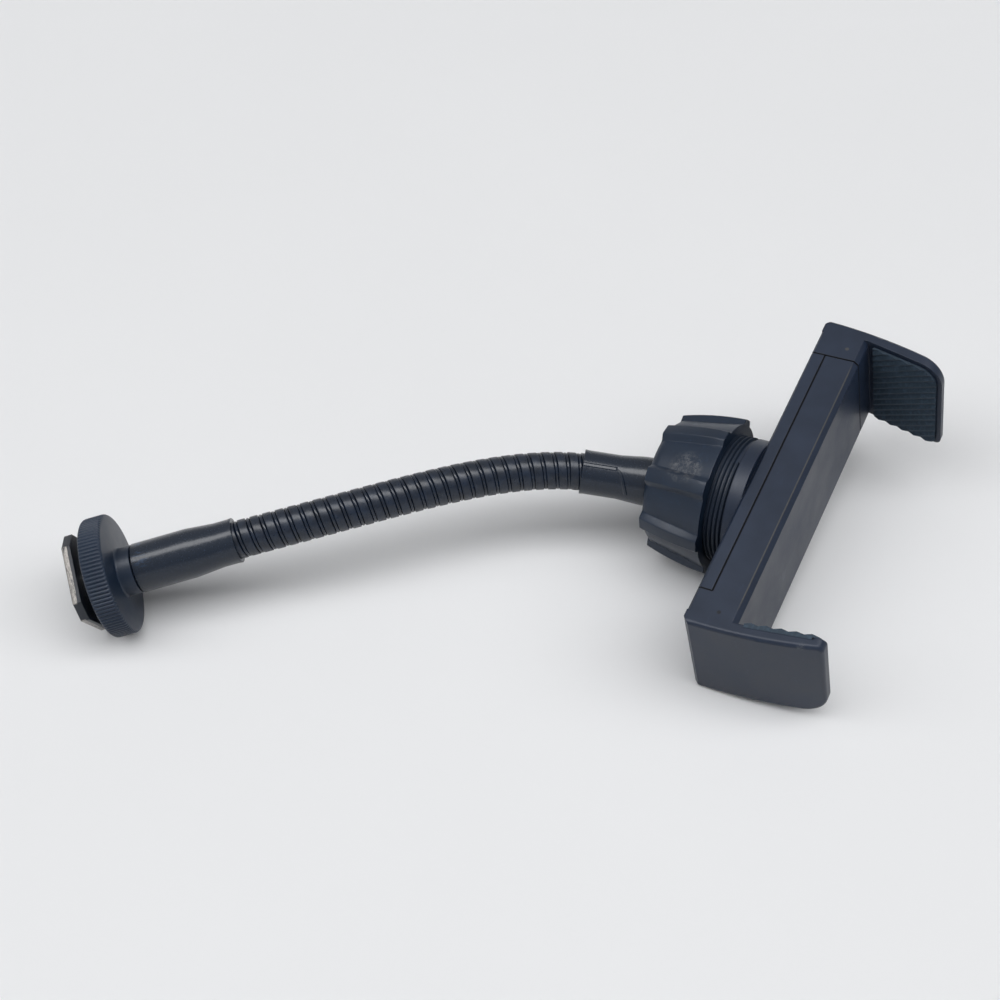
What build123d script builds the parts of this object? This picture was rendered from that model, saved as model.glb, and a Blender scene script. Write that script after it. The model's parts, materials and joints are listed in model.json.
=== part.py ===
from build123d import *
import os
from math import cos, pi, radians, sin, sqrt, tan

# Phone holder on a gooseneck, lying on a table: accessory-shoe foot and locking wheel at one end,
# ball joint and spring clamp at the other. Millimetres, +Z up, +X from the foot towards the clamp.
# The origin is on the table, under the middle of the whole object's box.

# Shoe foot, stud and locking wheel
FOOT_SIDE = 18.4
FOOT_THICK = 1.9
FOOT_CLIP = 3.2
FOOT_EDGE = 0.25
RAIL_GAP = 2.1
STUD_DIA = 6.2
STUD_GRIP = 5.0
STUD_CHAMFER = 0.5
WHEEL_DIA = 25.6
WHEEL_WIDTH = 4.9
WHEEL_SHOULDER = 0.8
KNURL_COUNT = 72
KNURL_DEPTH = 0.45
BOSS_DIA = 10.2
BOSS_LENGTH = 3.15
BOSS_FILLET = 0.6

# Gooseneck: turns of round wire with a thin wedge wire sunk between them
NECK_DIA = 8.0
TURN_PITCH = 2.70
TURN_CROWN = 1.0
TURN_SLOPE = 0.35
WEDGE_SINK = 0.30
TURNS_PER_SECTION = 3
SECTION_COUNT = 9
SECTION_TILT = 22.0
NOSE_RADIUS = 1.5
FACE_GAP = 0.06

# Sleeves and ferrules at the two ends of the gooseneck
SEAM = 0.3
SLEEVE_WALL = 0.65
BASE_FERRULE_DIA = 9.4
BASE_FERRULE_LENGTH = 11.5
BASE_FERRULE_WEB = 0.8
BASE_SLEEVE_LENGTH = 21.5
SLEEVE_TAPER = 6.0
SLEEVE_LIP = 0.5
LIP_RISE = 0.12
HEAD_STUB_LENGTH = 8.6
COLLAR_DIA = 9.4
COLLAR_LENGTH = 3.4
STEM_DIA = 6.4
STEM_SPIGOT_DIA = 3.0
STEM_SPIGOT_LENGTH = 4.0
STEM_PIN_DIA = 5.0
STEM_PIN_REACH = 6.0
HEAD_LENGTH = 26.2

# Ball joint: ball, split threaded socket on the back cover, ribbed nut
BALL_DIA = 17.0
BALL_STANDOFF = 13.0
FINGER_OPENING = 55.0
FINGER_COUNT = 6
FINGER_SLOT = 1.6
FINGER_BASE_RADIUS = 12.4
FINGER_TIP_RADIUS = 9.2
BARREL_RADIUS = 13.0
BARREL_END = 11.0
DISC_RADIUS = 13.6
DISC_THICK = 2.9
NUT_FRONT = 7.0
NUT_REAR = 21.0
NUT_FRONT_RADIUS = 15.8
NUT_REAR_RADIUS = 13.3
NUT_REAR_ROUND = 1.6
NUT_MOUTH_RADIUS = 9.9
NUT_MOUTH_LENGTH = 2.6
RIB_COUNT = 8
RIB_HEIGHT = 1.5
RIB_WIDTH = 4.8
RIB_BEVEL = 32.0
RIB_END = 0.3
RIB_PHASE = -12.5

# Spring clamp
CLAMP_WIDTH = 24.0
CLAMP_THICK = 10.3
COVER_THICK = 3.0
COVER_TOP = 33.5
COVER_BOTTOM = 30.0
FRONT_CHAMFER = 1.0
BACK_CHAMFER = 0.5
SEAM_BEVEL = 0.2
SIDE_WALL = 3.2
FRONT_WALL = 2.4
CAVITY_FLOOR = 29.0
JAW_REACH = 27.5
JAW_CORNER_LARGE = 5.0
JAW_CORNER_SMALL = 1.6
JAW_TIP_THICK = 2.2
JAW_EDGE = 0.8
JAW_BACK_EDGE = 1.2
JAW_CROWN = 0.7
FIXED_JAW_OUTSIDE = 38.4
FIXED_JAW_THICK = 2.9
FIXED_JAW_LEAN = 2.3
SLIDING_JAW_OUTSIDE = 43.3
SLIDING_JAW_THICK = 3.4
SLIDING_JAW_LEAN = 3.9
PRONG_LENGTH = 45.0
SPRING_DIA = 3.4
SPRING_WIRE = 0.5
SPRING_LOOP_DIA = 2.4
SPRING_PIN_DIA = 1.2
UPPER_PIN_INSET = 3.5
LOWER_PIN_RISE = 2.0
SCREW_HEAD_DIA = 2.6
SCREW_HEAD_HEIGHT = 1.1
SCREW_DIA = 1.6
SCREW_LENGTH = 7.0
SCREW_INSET = 6.5
SCREW_EDGE = 1.9
SCREW_SINK = 0.4

# Rubber pads on the jaws
PAD_START = 11.6
PAD_THICK = 1.2
PAD_SUNK = 0.5
PAD_RIM = 1.2
PAD_RIDGE = 0.4
PAD_RIDGE_PITCH = 1.55
PAD_RIDGE_ANGLE = 32.0

# Clearances: a running fit, a free gap between moving pieces, a seated fit,
# the gap between a spring and its prong, and the gap between the two springs
RUNNING = 0.06
FREE = 0.3
SEATED = 0.02
SPRING_GAP = 0.7
SPRING_APART = 1.8

# How far a cutting shape passes the face that it cuts
OVERCUT = 1.0

# How it lies: heading from +X towards +Y and climb above the table, in degrees
BASE_HEADING = 8.32
BASE_CLIMB = 10.93
HEAD_HEADING = -10.0
HEAD_CLIMB = -5.85
NECK_SWAY = 21.3
SWAY_POWER = 3.76
CLIMB_POWER = 0.68
SOCKET_HEADING = -29.3
SOCKET_CLIMB = 5.5
CLAMP_ROLL = 9.45
FOOT_ROLL = 28.7

# Stations along the base, measured up its axis from the foot's outer face
WHEEL_START = FOOT_THICK + RAIL_GAP
BOSS_START = WHEEL_START + WHEEL_WIDTH
FERRULE_START = BOSS_START + BOSS_LENGTH + SEAM
STUD_END = FERRULE_START + STUD_GRIP
STUB_START = STUD_END + BASE_FERRULE_WEB
FERRULE_END = FERRULE_START + BASE_FERRULE_LENGTH
SLEEVE_END = FERRULE_START + BASE_SLEEVE_LENGTH

# The gooseneck's own sizes
NECK_RADIUS = NECK_DIA / 2
WEDGE_RADIUS = NECK_RADIUS - WEDGE_SINK
SECTION_LENGTH = TURN_PITCH * TURNS_PER_SECTION
FACE_SLOPE = tan(radians(SECTION_TILT / 2))
VALLEY_HALF = FACE_SLOPE * WEDGE_RADIUS + FACE_GAP
FIRST_PIVOT = SLEEVE_END + VALLEY_HALF

# The head's sleeve and collar end just short of the ball
HEAD_SLEEVE_END = HEAD_LENGTH - BALL_DIA / 2 - FREE

# The clamp's own sizes; the prongs fill the room between the springs and the side walls
HALF_WIDTH = CLAMP_WIDTH / 2
CAVITY_FRONT = CLAMP_THICK - FRONT_WALL
CAVITY_HALF = HALF_WIDTH - SIDE_WALL
CAVITY_MIDDLE = (COVER_THICK + CAVITY_FRONT) / 2
SPRING_PLACE = (SPRING_APART + SPRING_DIA) / 2
PRONG_INSIDE = SPRING_PLACE + SPRING_DIA / 2 + SPRING_GAP
PRONG_WIDTH = CAVITY_HALF - FREE - PRONG_INSIDE
PARTING = COVER_TOP + RUNNING * 2
PAD_LENGTH = JAW_REACH - PAD_RIM - PAD_START
UPPER_PIN = PARTING - UPPER_PIN_INSET
LOWER_PIN = -CAVITY_FLOOR + LOWER_PIN_RISE


def direction(heading, climb):
    """Unit vector of a heading and a climb."""
    h, c = radians(heading), radians(climb)
    return Vector(cos(h) * cos(c), sin(h) * cos(c), sin(c))


def axis_plane(origin, forward):
    """Plane whose z runs forward, whose x lies level to the left and whose y points up."""
    return Plane(origin=origin, x_dir=Vector(-forward.Y, forward.X, 0), z_dir=forward)


def revolved(*points):
    """Solid of revolution about z from (radius, height) points."""
    outline = make_face(Polyline(*[(r, 0, z) for r, z in points], close=True))
    return revolve(outline, Axis.Z, 360)


def disc(radius, start, end):
    """Plain cylinder about z between two heights."""
    return Pos(0, 0, start) * Cylinder(radius, end - start, align=(Align.CENTER, Align.CENTER, Align.MIN))


def block(x, y, z):
    """Box given by its limits along each axis."""
    return Pos(x[0], y[0], z[0]) * Box(x[1] - x[0], y[1] - y[0], z[1] - z[0], align=Align.MIN)


# Where everything stands

def neck_directions():
    """Directions of the base, of each section and of the head.

    The neck sways to the left first, then bends back, ever tighter towards the head.
    """
    ways = []
    for i in range(SECTION_COUNT + 2):
        t = i / (SECTION_COUNT + 1)
        back = HEAD_HEADING - BASE_HEADING - NECK_SWAY
        heading = BASE_HEADING + NECK_SWAY * t + back * t ** SWAY_POWER
        climb = BASE_CLIMB + (HEAD_CLIMB - BASE_CLIMB) * t ** CLIMB_POWER
        ways.append(direction(heading, climb))
    return ways


def neck_frames():
    """Frames at the pivots, each with z along the section that follows it."""
    ways = neck_directions()
    frames = []
    pivot = ways[0] * FIRST_PIVOT
    for way in ways[1:]:
        frames.append(axis_plane(pivot, way))
        pivot = pivot + way * SECTION_LENGTH
    return frames


def socket_frame(ball):
    """Clamp frame: x out of the phone face, y along the slide towards the moving jaw, z across the width.

    Its origin is on the socket's axis at the clamp's back face.
    """
    level = axis_plane(ball, direction(SOCKET_HEADING, SOCKET_CLIMB))
    roll = radians(CLAMP_ROLL)
    across = level.y_dir * cos(roll) - level.x_dir * sin(roll)
    return Plane(origin=ball + level.z_dir * BALL_STANDOFF, x_dir=level.z_dir, z_dir=across)


BASE = axis_plane((0, 0, 0), neck_directions()[0])
PIVOTS = neck_frames()
HEAD = PIVOTS[-1]
BALL = HEAD.origin + HEAD.z_dir * HEAD_LENGTH
CLAMP = socket_frame(BALL)
SOCKET = CLAMP * Plane(origin=(0, 0, 0), x_dir=(0, 0, 1), z_dir=(1, 0, 0))


# Base pieces, built up the z axis from the foot's outer face

def shoe_foot():
    side = FOOT_SIDE
    plate = Rectangle(side, side)
    plate = chamfer(plate.vertices(), FOOT_CLIP)
    foot = extrude(plate, FOOT_THICK)
    foot = chamfer(foot.faces().sort_by(Axis.Z)[0].edges(), FOOT_EDGE)
    return Rot(0, 0, FOOT_ROLL) * foot - disc(STUD_DIA / 2 + SEATED, -OVERCUT, FOOT_THICK + OVERCUT)


def shoe_stud():
    stud = disc(STUD_DIA / 2, 0, STUD_END)
    return chamfer(stud.edges().sort_by(Axis.Z)[-1], STUD_CHAMFER)


def knurled_prism(start, end):
    """Zigzag star that cuts straight knurling into a round rim."""
    points = []
    for i in range(KNURL_COUNT * 2):
        radius = WHEEL_DIA / 2 - KNURL_DEPTH * (i % 2)
        angle = pi * i / KNURL_COUNT
        points.append((radius * cos(angle), radius * sin(angle), start))
    return extrude(make_face(Polyline(*points, close=True)), end - start)


def locking_wheel():
    edge = WHEEL_DIA / 2 - WHEEL_SHOULDER
    mid_edge = edge + WHEEL_SHOULDER * 0.7
    clear = WHEEL_DIA / 2 + KNURL_DEPTH
    shoulders = revolved(
        (0, WHEEL_START), (edge, WHEEL_START), (mid_edge, WHEEL_START + WHEEL_SHOULDER * 0.3),
        (clear, WHEEL_START + WHEEL_SHOULDER * 1.5), (clear, BOSS_START - WHEEL_SHOULDER * 1.5),
        (mid_edge, BOSS_START - WHEEL_SHOULDER * 0.3), (edge, BOSS_START), (0, BOSS_START))
    rim = knurled_prism(WHEEL_START - OVERCUT, BOSS_START + OVERCUT) & shoulders
    radius, inside, boss_end = BOSS_DIA / 2, BOSS_START - WHEEL_WIDTH / 2, BOSS_START + BOSS_LENGTH
    boss = revolved(
        (0, inside), (radius + BOSS_FILLET, inside), (radius + BOSS_FILLET, BOSS_START),
        (radius + BOSS_FILLET * 0.3, BOSS_START + BOSS_FILLET * 0.3),
        (radius, BOSS_START + BOSS_FILLET), (radius, boss_end), (0, boss_end))
    return rim + boss - disc(STUD_DIA / 2 + RUNNING, 0, FERRULE_START)


def base_ferrule():
    ferrule = disc(BASE_FERRULE_DIA / 2, FERRULE_START, FERRULE_END)
    ferrule -= disc(STUD_DIA / 2 + SEATED, FERRULE_START - OVERCUT, STUD_END)
    return ferrule - disc(NECK_RADIUS + SEATED, STUB_START, FERRULE_END + OVERCUT)


def base_sleeve():
    wide = BASE_FERRULE_DIA / 2 + SEATED
    narrow = NECK_RADIUS + SEATED
    step = FERRULE_END + SLEEVE_TAPER
    lip = SLEEVE_END - SLEEVE_LIP
    return revolved(
        (wide, FERRULE_START), (wide, FERRULE_END), (narrow, step), (narrow, SLEEVE_END),
        (narrow + SLEEVE_WALL + LIP_RISE, SLEEVE_END), (narrow + SLEEVE_WALL + LIP_RISE, lip),
        (narrow + SLEEVE_WALL, lip - LIP_RISE), (narrow + SLEEVE_WALL, step),
        (wide + SLEEVE_WALL, FERRULE_END), (wide + SLEEVE_WALL, FERRULE_START))


# Gooseneck pieces, built up z from the pivot below

def turn_outline(start, count):
    """(radius, height) points of a row of turns, from the first crown's slope to the last one's."""
    foot_half = TURN_CROWN / 2 + TURN_SLOPE
    points = []
    for i in range(count):
        middle = start + TURN_PITCH * (i + 0.5)
        points += [(WEDGE_RADIUS, middle - foot_half), (NECK_RADIUS, middle - TURN_CROWN / 2),
                   (NECK_RADIUS, middle + TURN_CROWN / 2), (WEDGE_RADIUS, middle + foot_half)]
    return points[1:-1]


def seat_points():
    """Hollow end that rides on the nose of the section below: a cone seat, then the sloping end face."""
    apex = (NOSE_RADIUS + RUNNING) * sqrt(2)
    rim = (apex - FACE_GAP) / (1 + FACE_SLOPE)
    return [(0, apex), (rim, FACE_SLOPE * rim + FACE_GAP), (WEDGE_RADIUS, VALLEY_HALF)]


def nose(height):
    """Ball on which the next section turns."""
    return Pos(0, 0, height) * Sphere(NOSE_RADIUS)


def end_face_points(height):
    """Sloping end face under a nose, from the outside to the axis."""
    return [(WEDGE_RADIUS, height - VALLEY_HALF), (0, height - FACE_GAP)]


def neck_base_end():
    turns = int((FIRST_PIVOT - STUB_START) / TURN_PITCH)
    first = FIRST_PIVOT - turns * TURN_PITCH
    outline = [(0, STUB_START + SEATED), (WEDGE_RADIUS, STUB_START + SEATED)]
    outline += turn_outline(first, turns) + end_face_points(FIRST_PIVOT)
    return revolved(*outline) + nose(FIRST_PIVOT)


def neck_section():
    outline = seat_points() + turn_outline(0, TURNS_PER_SECTION) + end_face_points(SECTION_LENGTH)
    return revolved(*outline) + nose(SECTION_LENGTH)


def neck_head_end():
    turns = int(HEAD_STUB_LENGTH / TURN_PITCH)
    outline = seat_points() + turn_outline(0, turns)
    outline += [(WEDGE_RADIUS, HEAD_STUB_LENGTH), (0, HEAD_STUB_LENGTH)]
    spigot_end = HEAD_STUB_LENGTH - STEM_SPIGOT_LENGTH
    spigot = disc(STEM_SPIGOT_DIA / 2 + SEATED, spigot_end, HEAD_STUB_LENGTH + OVERCUT)
    return revolved(*outline) - spigot


# Head pieces, built up z from the last pivot

def head_sleeve():
    start = VALLEY_HALF
    narrow = NECK_RADIUS + SEATED
    wide = COLLAR_DIA / 2 + SEATED
    flare = HEAD_SLEEVE_END - COLLAR_LENGTH
    outer = narrow + SLEEVE_WALL
    return revolved(
        (narrow, start), (narrow, HEAD_STUB_LENGTH), (wide, flare), (wide, HEAD_SLEEVE_END),
        (wide + SLEEVE_WALL, HEAD_SLEEVE_END), (wide + SLEEVE_WALL, flare),
        (outer, HEAD_STUB_LENGTH), (outer, start + SLEEVE_LIP + LIP_RISE),
        (outer + LIP_RISE, start + SLEEVE_LIP), (outer + LIP_RISE, start))


def ball_stem():
    shoulder = HEAD_LENGTH - sqrt((BALL_DIA / 2) ** 2 - (STEM_PIN_DIA / 2) ** 2) - RUNNING
    flare = HEAD_SLEEVE_END - COLLAR_LENGTH
    base = HEAD_STUB_LENGTH + SEATED
    return revolved(
        (0, HEAD_STUB_LENGTH - STEM_SPIGOT_LENGTH + SEATED),
        (STEM_SPIGOT_DIA / 2, HEAD_STUB_LENGTH - STEM_SPIGOT_LENGTH + SEATED), (STEM_SPIGOT_DIA / 2, base),
        (NECK_RADIUS, base), (COLLAR_DIA / 2, flare), (COLLAR_DIA / 2, HEAD_SLEEVE_END),
        (STEM_DIA / 2, HEAD_SLEEVE_END), (STEM_DIA / 2, shoulder), (STEM_PIN_DIA / 2, shoulder),
        (STEM_PIN_DIA / 2, HEAD_LENGTH + STEM_PIN_REACH), (0, HEAD_LENGTH + STEM_PIN_REACH))


def socket_ball():
    ball = Pos(0, 0, HEAD_LENGTH) * Sphere(BALL_DIA / 2)
    return ball - disc(STEM_PIN_DIA / 2 + RUNNING, 0, HEAD_LENGTH + STEM_PIN_REACH + RUNNING)


# Nut, built along z out of the socket: z is 0 at the clamp's back face and negative towards the gooseneck

def nut_rib():
    """One bevelled rib along the nut, standing out along +x."""
    front, rear = -NUT_FRONT, -NUT_REAR + RIB_END
    inside = RIB_HEIGHT
    side = make_face(Polyline(
        (NUT_FRONT_RADIUS - inside, 0, front), (NUT_FRONT_RADIUS + RIB_HEIGHT, 0, front),
        (NUT_REAR_RADIUS + RIB_HEIGHT, 0, rear), (NUT_REAR_RADIUS - inside, 0, rear), close=True))
    across = RIB_WIDTH / 2
    rib = extrude(side, across, both=True)
    skin = (NUT_FRONT_RADIUS + NUT_REAR_RADIUS) / 2
    tops = rib.edges().filter_by(lambda e: e.center().X > skin + RIB_HEIGHT / 2)
    tops = tops.filter_by(lambda e: abs(e.center().Y) > across / 2)
    return chamfer(tops, RIB_HEIGHT * tan(radians(RIB_BEVEL)), RIB_HEIGHT * 0.9)


def clamp_nut():
    bend = NUT_REAR_ROUND * 0.3
    shell = revolved(
        (0, -NUT_REAR), (NUT_REAR_RADIUS - NUT_REAR_ROUND, -NUT_REAR),
        (NUT_REAR_RADIUS - bend, -NUT_REAR + bend),
        (NUT_REAR_RADIUS, -NUT_REAR + NUT_REAR_ROUND), (NUT_FRONT_RADIUS, -NUT_FRONT), (0, -NUT_FRONT))
    ribs = [Rot(0, 0, 360 / RIB_COUNT * i + RIB_PHASE) * nut_rib() for i in range(RIB_COUNT)]
    mouth = -NUT_REAR + NUT_MOUTH_LENGTH
    step = -BARREL_END - FREE
    bore = revolved(
        (0, -NUT_REAR - OVERCUT), (NUT_MOUTH_RADIUS, -NUT_REAR - OVERCUT), (NUT_MOUTH_RADIUS, mouth),
        (FINGER_TIP_RADIUS + FREE, finger_tip_height()), (FINGER_BASE_RADIUS + FREE, step),
        (BARREL_RADIUS + FREE, step), (BARREL_RADIUS + FREE, -NUT_FRONT + OVERCUT), (0, -NUT_FRONT + OVERCUT))
    return shell + ribs - bore


# Clamp pieces: x out of the phone face, y along the slide, z across the width

def finger_tip_height():
    """Height of the socket fingers' tips on the socket's axis."""
    return -BALL_STANDOFF - BALL_DIA / 2 * cos(radians(FINGER_OPENING))


def ball_socket():
    """Disc, threaded barrel and split fingers, along z of the socket's axis."""
    tip = finger_tip_height()
    inside = BALL_DIA / 2 * sin(radians(FINGER_OPENING))
    post = revolved(
        (0, 0), (DISC_RADIUS, 0), (DISC_RADIUS, -DISC_THICK), (BARREL_RADIUS, -DISC_THICK),
        (BARREL_RADIUS, -BARREL_END), (FINGER_BASE_RADIUS, -BARREL_END), (FINGER_TIP_RADIUS, tip),
        (inside, tip), (0, tip))
    post -= Pos(0, 0, -BALL_STANDOFF) * Sphere(BALL_DIA / 2 + RUNNING)
    slot_end = -NUT_FRONT
    slot = block((0, DISC_RADIUS), (-FINGER_SLOT / 2, FINGER_SLOT / 2), (tip - OVERCUT, slot_end))
    return post - [Rot(0, 0, 360 / FINGER_COUNT * i) * slot for i in range(FINGER_COUNT)]


def screw_places():
    """The four cover screws' places, under their heads' faces."""
    rows = (COVER_TOP - SCREW_INSET, -COVER_BOTTOM + SCREW_INSET)
    across = HALF_WIDTH - SCREW_EDGE
    return [(SCREW_SINK, y, side * across) for y in rows for side in (-1, 1)]


def cross_section(x_from, y_from, y_to, bevel):
    """Length of the clamp's bar, chamfered along its front edges and bevelled along its edges at x_from."""
    side, flat = CLAMP_THICK - FRONT_CHAMFER, HALF_WIDTH - FRONT_CHAMFER
    half = [(x_from, HALF_WIDTH - bevel), (x_from + bevel, HALF_WIDTH)]
    half += [(side, HALF_WIDTH), (CLAMP_THICK, flat)]
    points = [(x, y_from, z) for x, z in half] + [(x, y_from, -z) for x, z in reversed(half)]
    return extrude(make_face(Polyline(*points, close=True)), y_to - y_from, dir=(0, 1, 0))


def back_cover():
    plate = block((0, COVER_THICK), (-COVER_BOTTOM, COVER_TOP), (-HALF_WIDTH, HALF_WIDTH))
    plate = chamfer(plate.faces().sort_by(Axis.X)[0].edges().filter_by(Axis.Y), BACK_CHAMFER)
    plate = chamfer(plate.faces().sort_by(Axis.X)[-1].edges().filter_by(Axis.Y), SEAM_BEVEL)
    upright = Rot(0, 90, 0)
    cover = plate + upright * Rot(0, 0, 90) * ball_socket()
    for x, y, z in screw_places():
        hole = disc(SCREW_DIA / 2 + SEATED, 0, COVER_THICK)
        hole += disc(SCREW_HEAD_DIA / 2 + RUNNING, -SCREW_SINK - OVERCUT, SCREW_HEAD_HEIGHT)
        cover -= Pos(x, y, z) * upright * hole
    return cover


def cover_screws():
    screw = disc(SCREW_HEAD_DIA / 2, 0, SCREW_HEAD_HEIGHT) + disc(SCREW_DIA / 2, 0, SCREW_LENGTH)
    return [Pos(*place) * Rot(0, 90, 0) * screw for place in screw_places()]


def jaw_plate(outside, thick, lean, large_side):
    """Jaw that leans inwards to its tip; outside is its outer face's place at the clamp's back."""
    inward = 1 if outside < 0 else -1
    tip_inner = outside + inward * (thick + lean)
    tip_outer = tip_inner - inward * JAW_TIP_THICK
    middle = (outside + tip_outer) / 2 - inward * JAW_CROWN
    inner = outside + inward * thick
    back = (JAW_BACK_EDGE, outside, 0)
    outline = make_face(
        Polyline((JAW_REACH, tip_outer, 0), (JAW_REACH, tip_inner, 0), (CLAMP_THICK, inner, 0),
                 (0, inner, 0), (0, outside + inward * JAW_BACK_EDGE, 0), back)
        + ThreePointArc(back, (JAW_REACH * 0.55, middle, 0), (JAW_REACH, tip_outer, 0)))
    jaw = extrude(outline, CLAMP_WIDTH, both=True) & jaw_plan(large_side, 0)
    crown = jaw.faces().filter_by(GeomType.CYLINDER).sort_by(SortBy.AREA)[-1]
    return fillet(crown.edges().filter_by(lambda edge: edge.center().X > JAW_BACK_EDGE * 2), JAW_EDGE)


def jaw_plan(large_side, rim):
    """Tall prism of a jaw's outline along the slide, drawn in by rim at its tip and its large corner's side.

    The tip corner on the large side, +1 or -1 across the width, is rounded more than the other.
    """
    tall = SLIDING_JAW_OUTSIDE * 4
    across = sorted((large_side * (HALF_WIDTH - rim), -large_side * HALF_WIDTH))
    plan = block((0, JAW_REACH - rim), (-tall / 2, tall / 2), across)
    for side, radius in ((large_side, JAW_CORNER_LARGE - rim), (-large_side, JAW_CORNER_SMALL)):
        tips = plan.edges().filter_by(Axis.Y).filter_by(lambda edge: edge.center().X > JAW_REACH / 2)
        plan = fillet(tips.sort_by(Axis.Z)[-1 if side > 0 else 0], radius)
    return plan


def pad_frame(outside, thick, lean):
    """Plane on a jaw's inner face at the pad's start: x towards the tip, z out of the face."""
    inward = 1 if outside < 0 else -1
    slope = lean / (JAW_REACH - CLAMP_THICK)
    start = outside + inward * (thick + slope * (PAD_START - CLAMP_THICK))
    along = Vector(1, inward * slope, 0).normalized()
    out = Vector(-inward * slope, 1, 0).normalized() * inward
    return Plane(origin=(PAD_START, start, 0), x_dir=along, z_dir=out)


def pad_blank(outside, thick, lean, large_side, grow):
    """Plain block of a pad, sunk in the jaw's inner face, with a rim of the jaw left at its large corner."""
    sheet = pad_frame(outside, thick, lean) * block(
        (-grow, JAW_REACH), (-CLAMP_WIDTH, CLAMP_WIDTH), (-PAD_SUNK - grow, PAD_THICK - PAD_SUNK))
    return sheet & jaw_plan(large_side, PAD_RIM - grow)


def jaw_pad(outside, thick, lean, large_side):
    """Rubber pad with slanting ridges across its face."""
    face = PAD_THICK - PAD_SUNK
    reach = CLAMP_WIDTH + PAD_LENGTH
    half = PAD_RIDGE_PITCH / 2
    valley = make_face(Polyline((0, 0, face - PAD_RIDGE), (0, half, face), (0, -half, face), close=True))
    groove = extrude(valley, reach, both=True, dir=(1, 0, 0))
    count = int(reach / PAD_RIDGE_PITCH / 2)
    slant = pad_frame(outside, thick, lean) * Pos(PAD_LENGTH / 2, 0, 0) * Rot(0, 0, PAD_RIDGE_ANGLE)
    grooves = [slant * Pos(0, PAD_RIDGE_PITCH * i, 0) * groove for i in range(-count, count + 1)]
    return pad_blank(outside, thick, lean, large_side, 0) - grooves


FIXED_JAW = (-FIXED_JAW_OUTSIDE, FIXED_JAW_THICK, FIXED_JAW_LEAN, -1)
SLIDING_JAW = (SLIDING_JAW_OUTSIDE, SLIDING_JAW_THICK, SLIDING_JAW_LEAN, 1)


def clamp_body():
    bar = cross_section(COVER_THICK + SEATED, -COVER_BOTTOM - SEATED, COVER_TOP, SEAM_BEVEL)
    bar = chamfer(bar.faces().sort_by(Axis.Y)[-1].edges(), SEAM_BEVEL / 2)
    bar += cross_section(0, -FIXED_JAW_OUTSIDE + FIXED_JAW_THICK, -COVER_BOTTOM - SEATED, BACK_CHAMFER)
    body = bar + jaw_plate(*FIXED_JAW)
    sides = (-CAVITY_HALF, CAVITY_HALF)
    body -= block((COVER_THICK - OVERCUT, CAVITY_FRONT), (-CAVITY_FLOOR, COVER_TOP + OVERCUT), sides)
    body -= pad_blank(*FIXED_JAW, SEATED)
    body -= Pos(CAVITY_MIDDLE, LOWER_PIN, 0) * Cylinder(SPRING_PIN_DIA / 2 + SEATED, lower_pin_length())
    for x, y, z in screw_places():
        body -= Pos(x, y, z) * Rot(0, 90, 0) * disc(SCREW_DIA / 2 + SEATED, 0, SCREW_LENGTH + SEATED)
    return body


def sliding_jaw():
    bar = cross_section(0, PARTING, SLIDING_JAW_OUTSIDE - SLIDING_JAW_THICK, BACK_CHAMFER)
    bar = chamfer(bar.faces().sort_by(Axis.Y)[0].edges(), SEAM_BEVEL / 2)
    jaw = bar + jaw_plate(*SLIDING_JAW)
    for side in (-1, 1):
        edges = sorted((side * (CAVITY_HALF - FREE), side * PRONG_INSIDE))
        depth = (COVER_THICK + FREE, CAVITY_FRONT - FREE)
        jaw += block(depth, (PARTING - PRONG_LENGTH, PARTING + OVERCUT), edges)
    jaw -= Pos(CAVITY_MIDDLE, UPPER_PIN, 0) * Cylinder(SPRING_PIN_DIA / 2 + SEATED, upper_pin_length())
    return jaw - pad_blank(*SLIDING_JAW, SEATED)


def upper_pin_length():
    """The upper pin reaches half way into both prongs."""
    return (PRONG_INSIDE + PRONG_WIDTH / 2) * 2


def lower_pin_length():
    """The lower pin reaches half way into both side walls."""
    return (CAVITY_HALF + SIDE_WALL / 2) * 2


def spring_pin_upper():
    return Pos(CAVITY_MIDDLE, UPPER_PIN, 0) * Cylinder(SPRING_PIN_DIA / 2, upper_pin_length() - SEATED * 2)


def spring_pin_lower():
    return Pos(CAVITY_MIDDLE, LOWER_PIN, 0) * Cylinder(SPRING_PIN_DIA / 2, lower_pin_length() - SEATED * 2)


def jaw_spring(side):
    """Close-wound pull spring with a round loop over each pin."""
    loop_radius = (SPRING_LOOP_DIA - SPRING_WIRE) / 2
    hang = loop_radius - SPRING_WIRE / 2 - SPRING_PIN_DIA / 2 - SEATED
    low, high = LOWER_PIN + hang, UPPER_PIN - hang
    coil_low, coil_high = low + loop_radius, high - loop_radius
    coil = Pos(0, coil_low, 0) * Rot(-90, 0, 0) * disc(SPRING_DIA / 2, 0, coil_high - coil_low)
    loops = [Pos(0, y, 0) * Torus(loop_radius, SPRING_WIRE / 2) for y in (low, high)]
    return Pos(CAVITY_MIDDLE, 0, side * SPRING_PLACE) * (coil + loops)


# All pieces in the place where they lie

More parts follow.
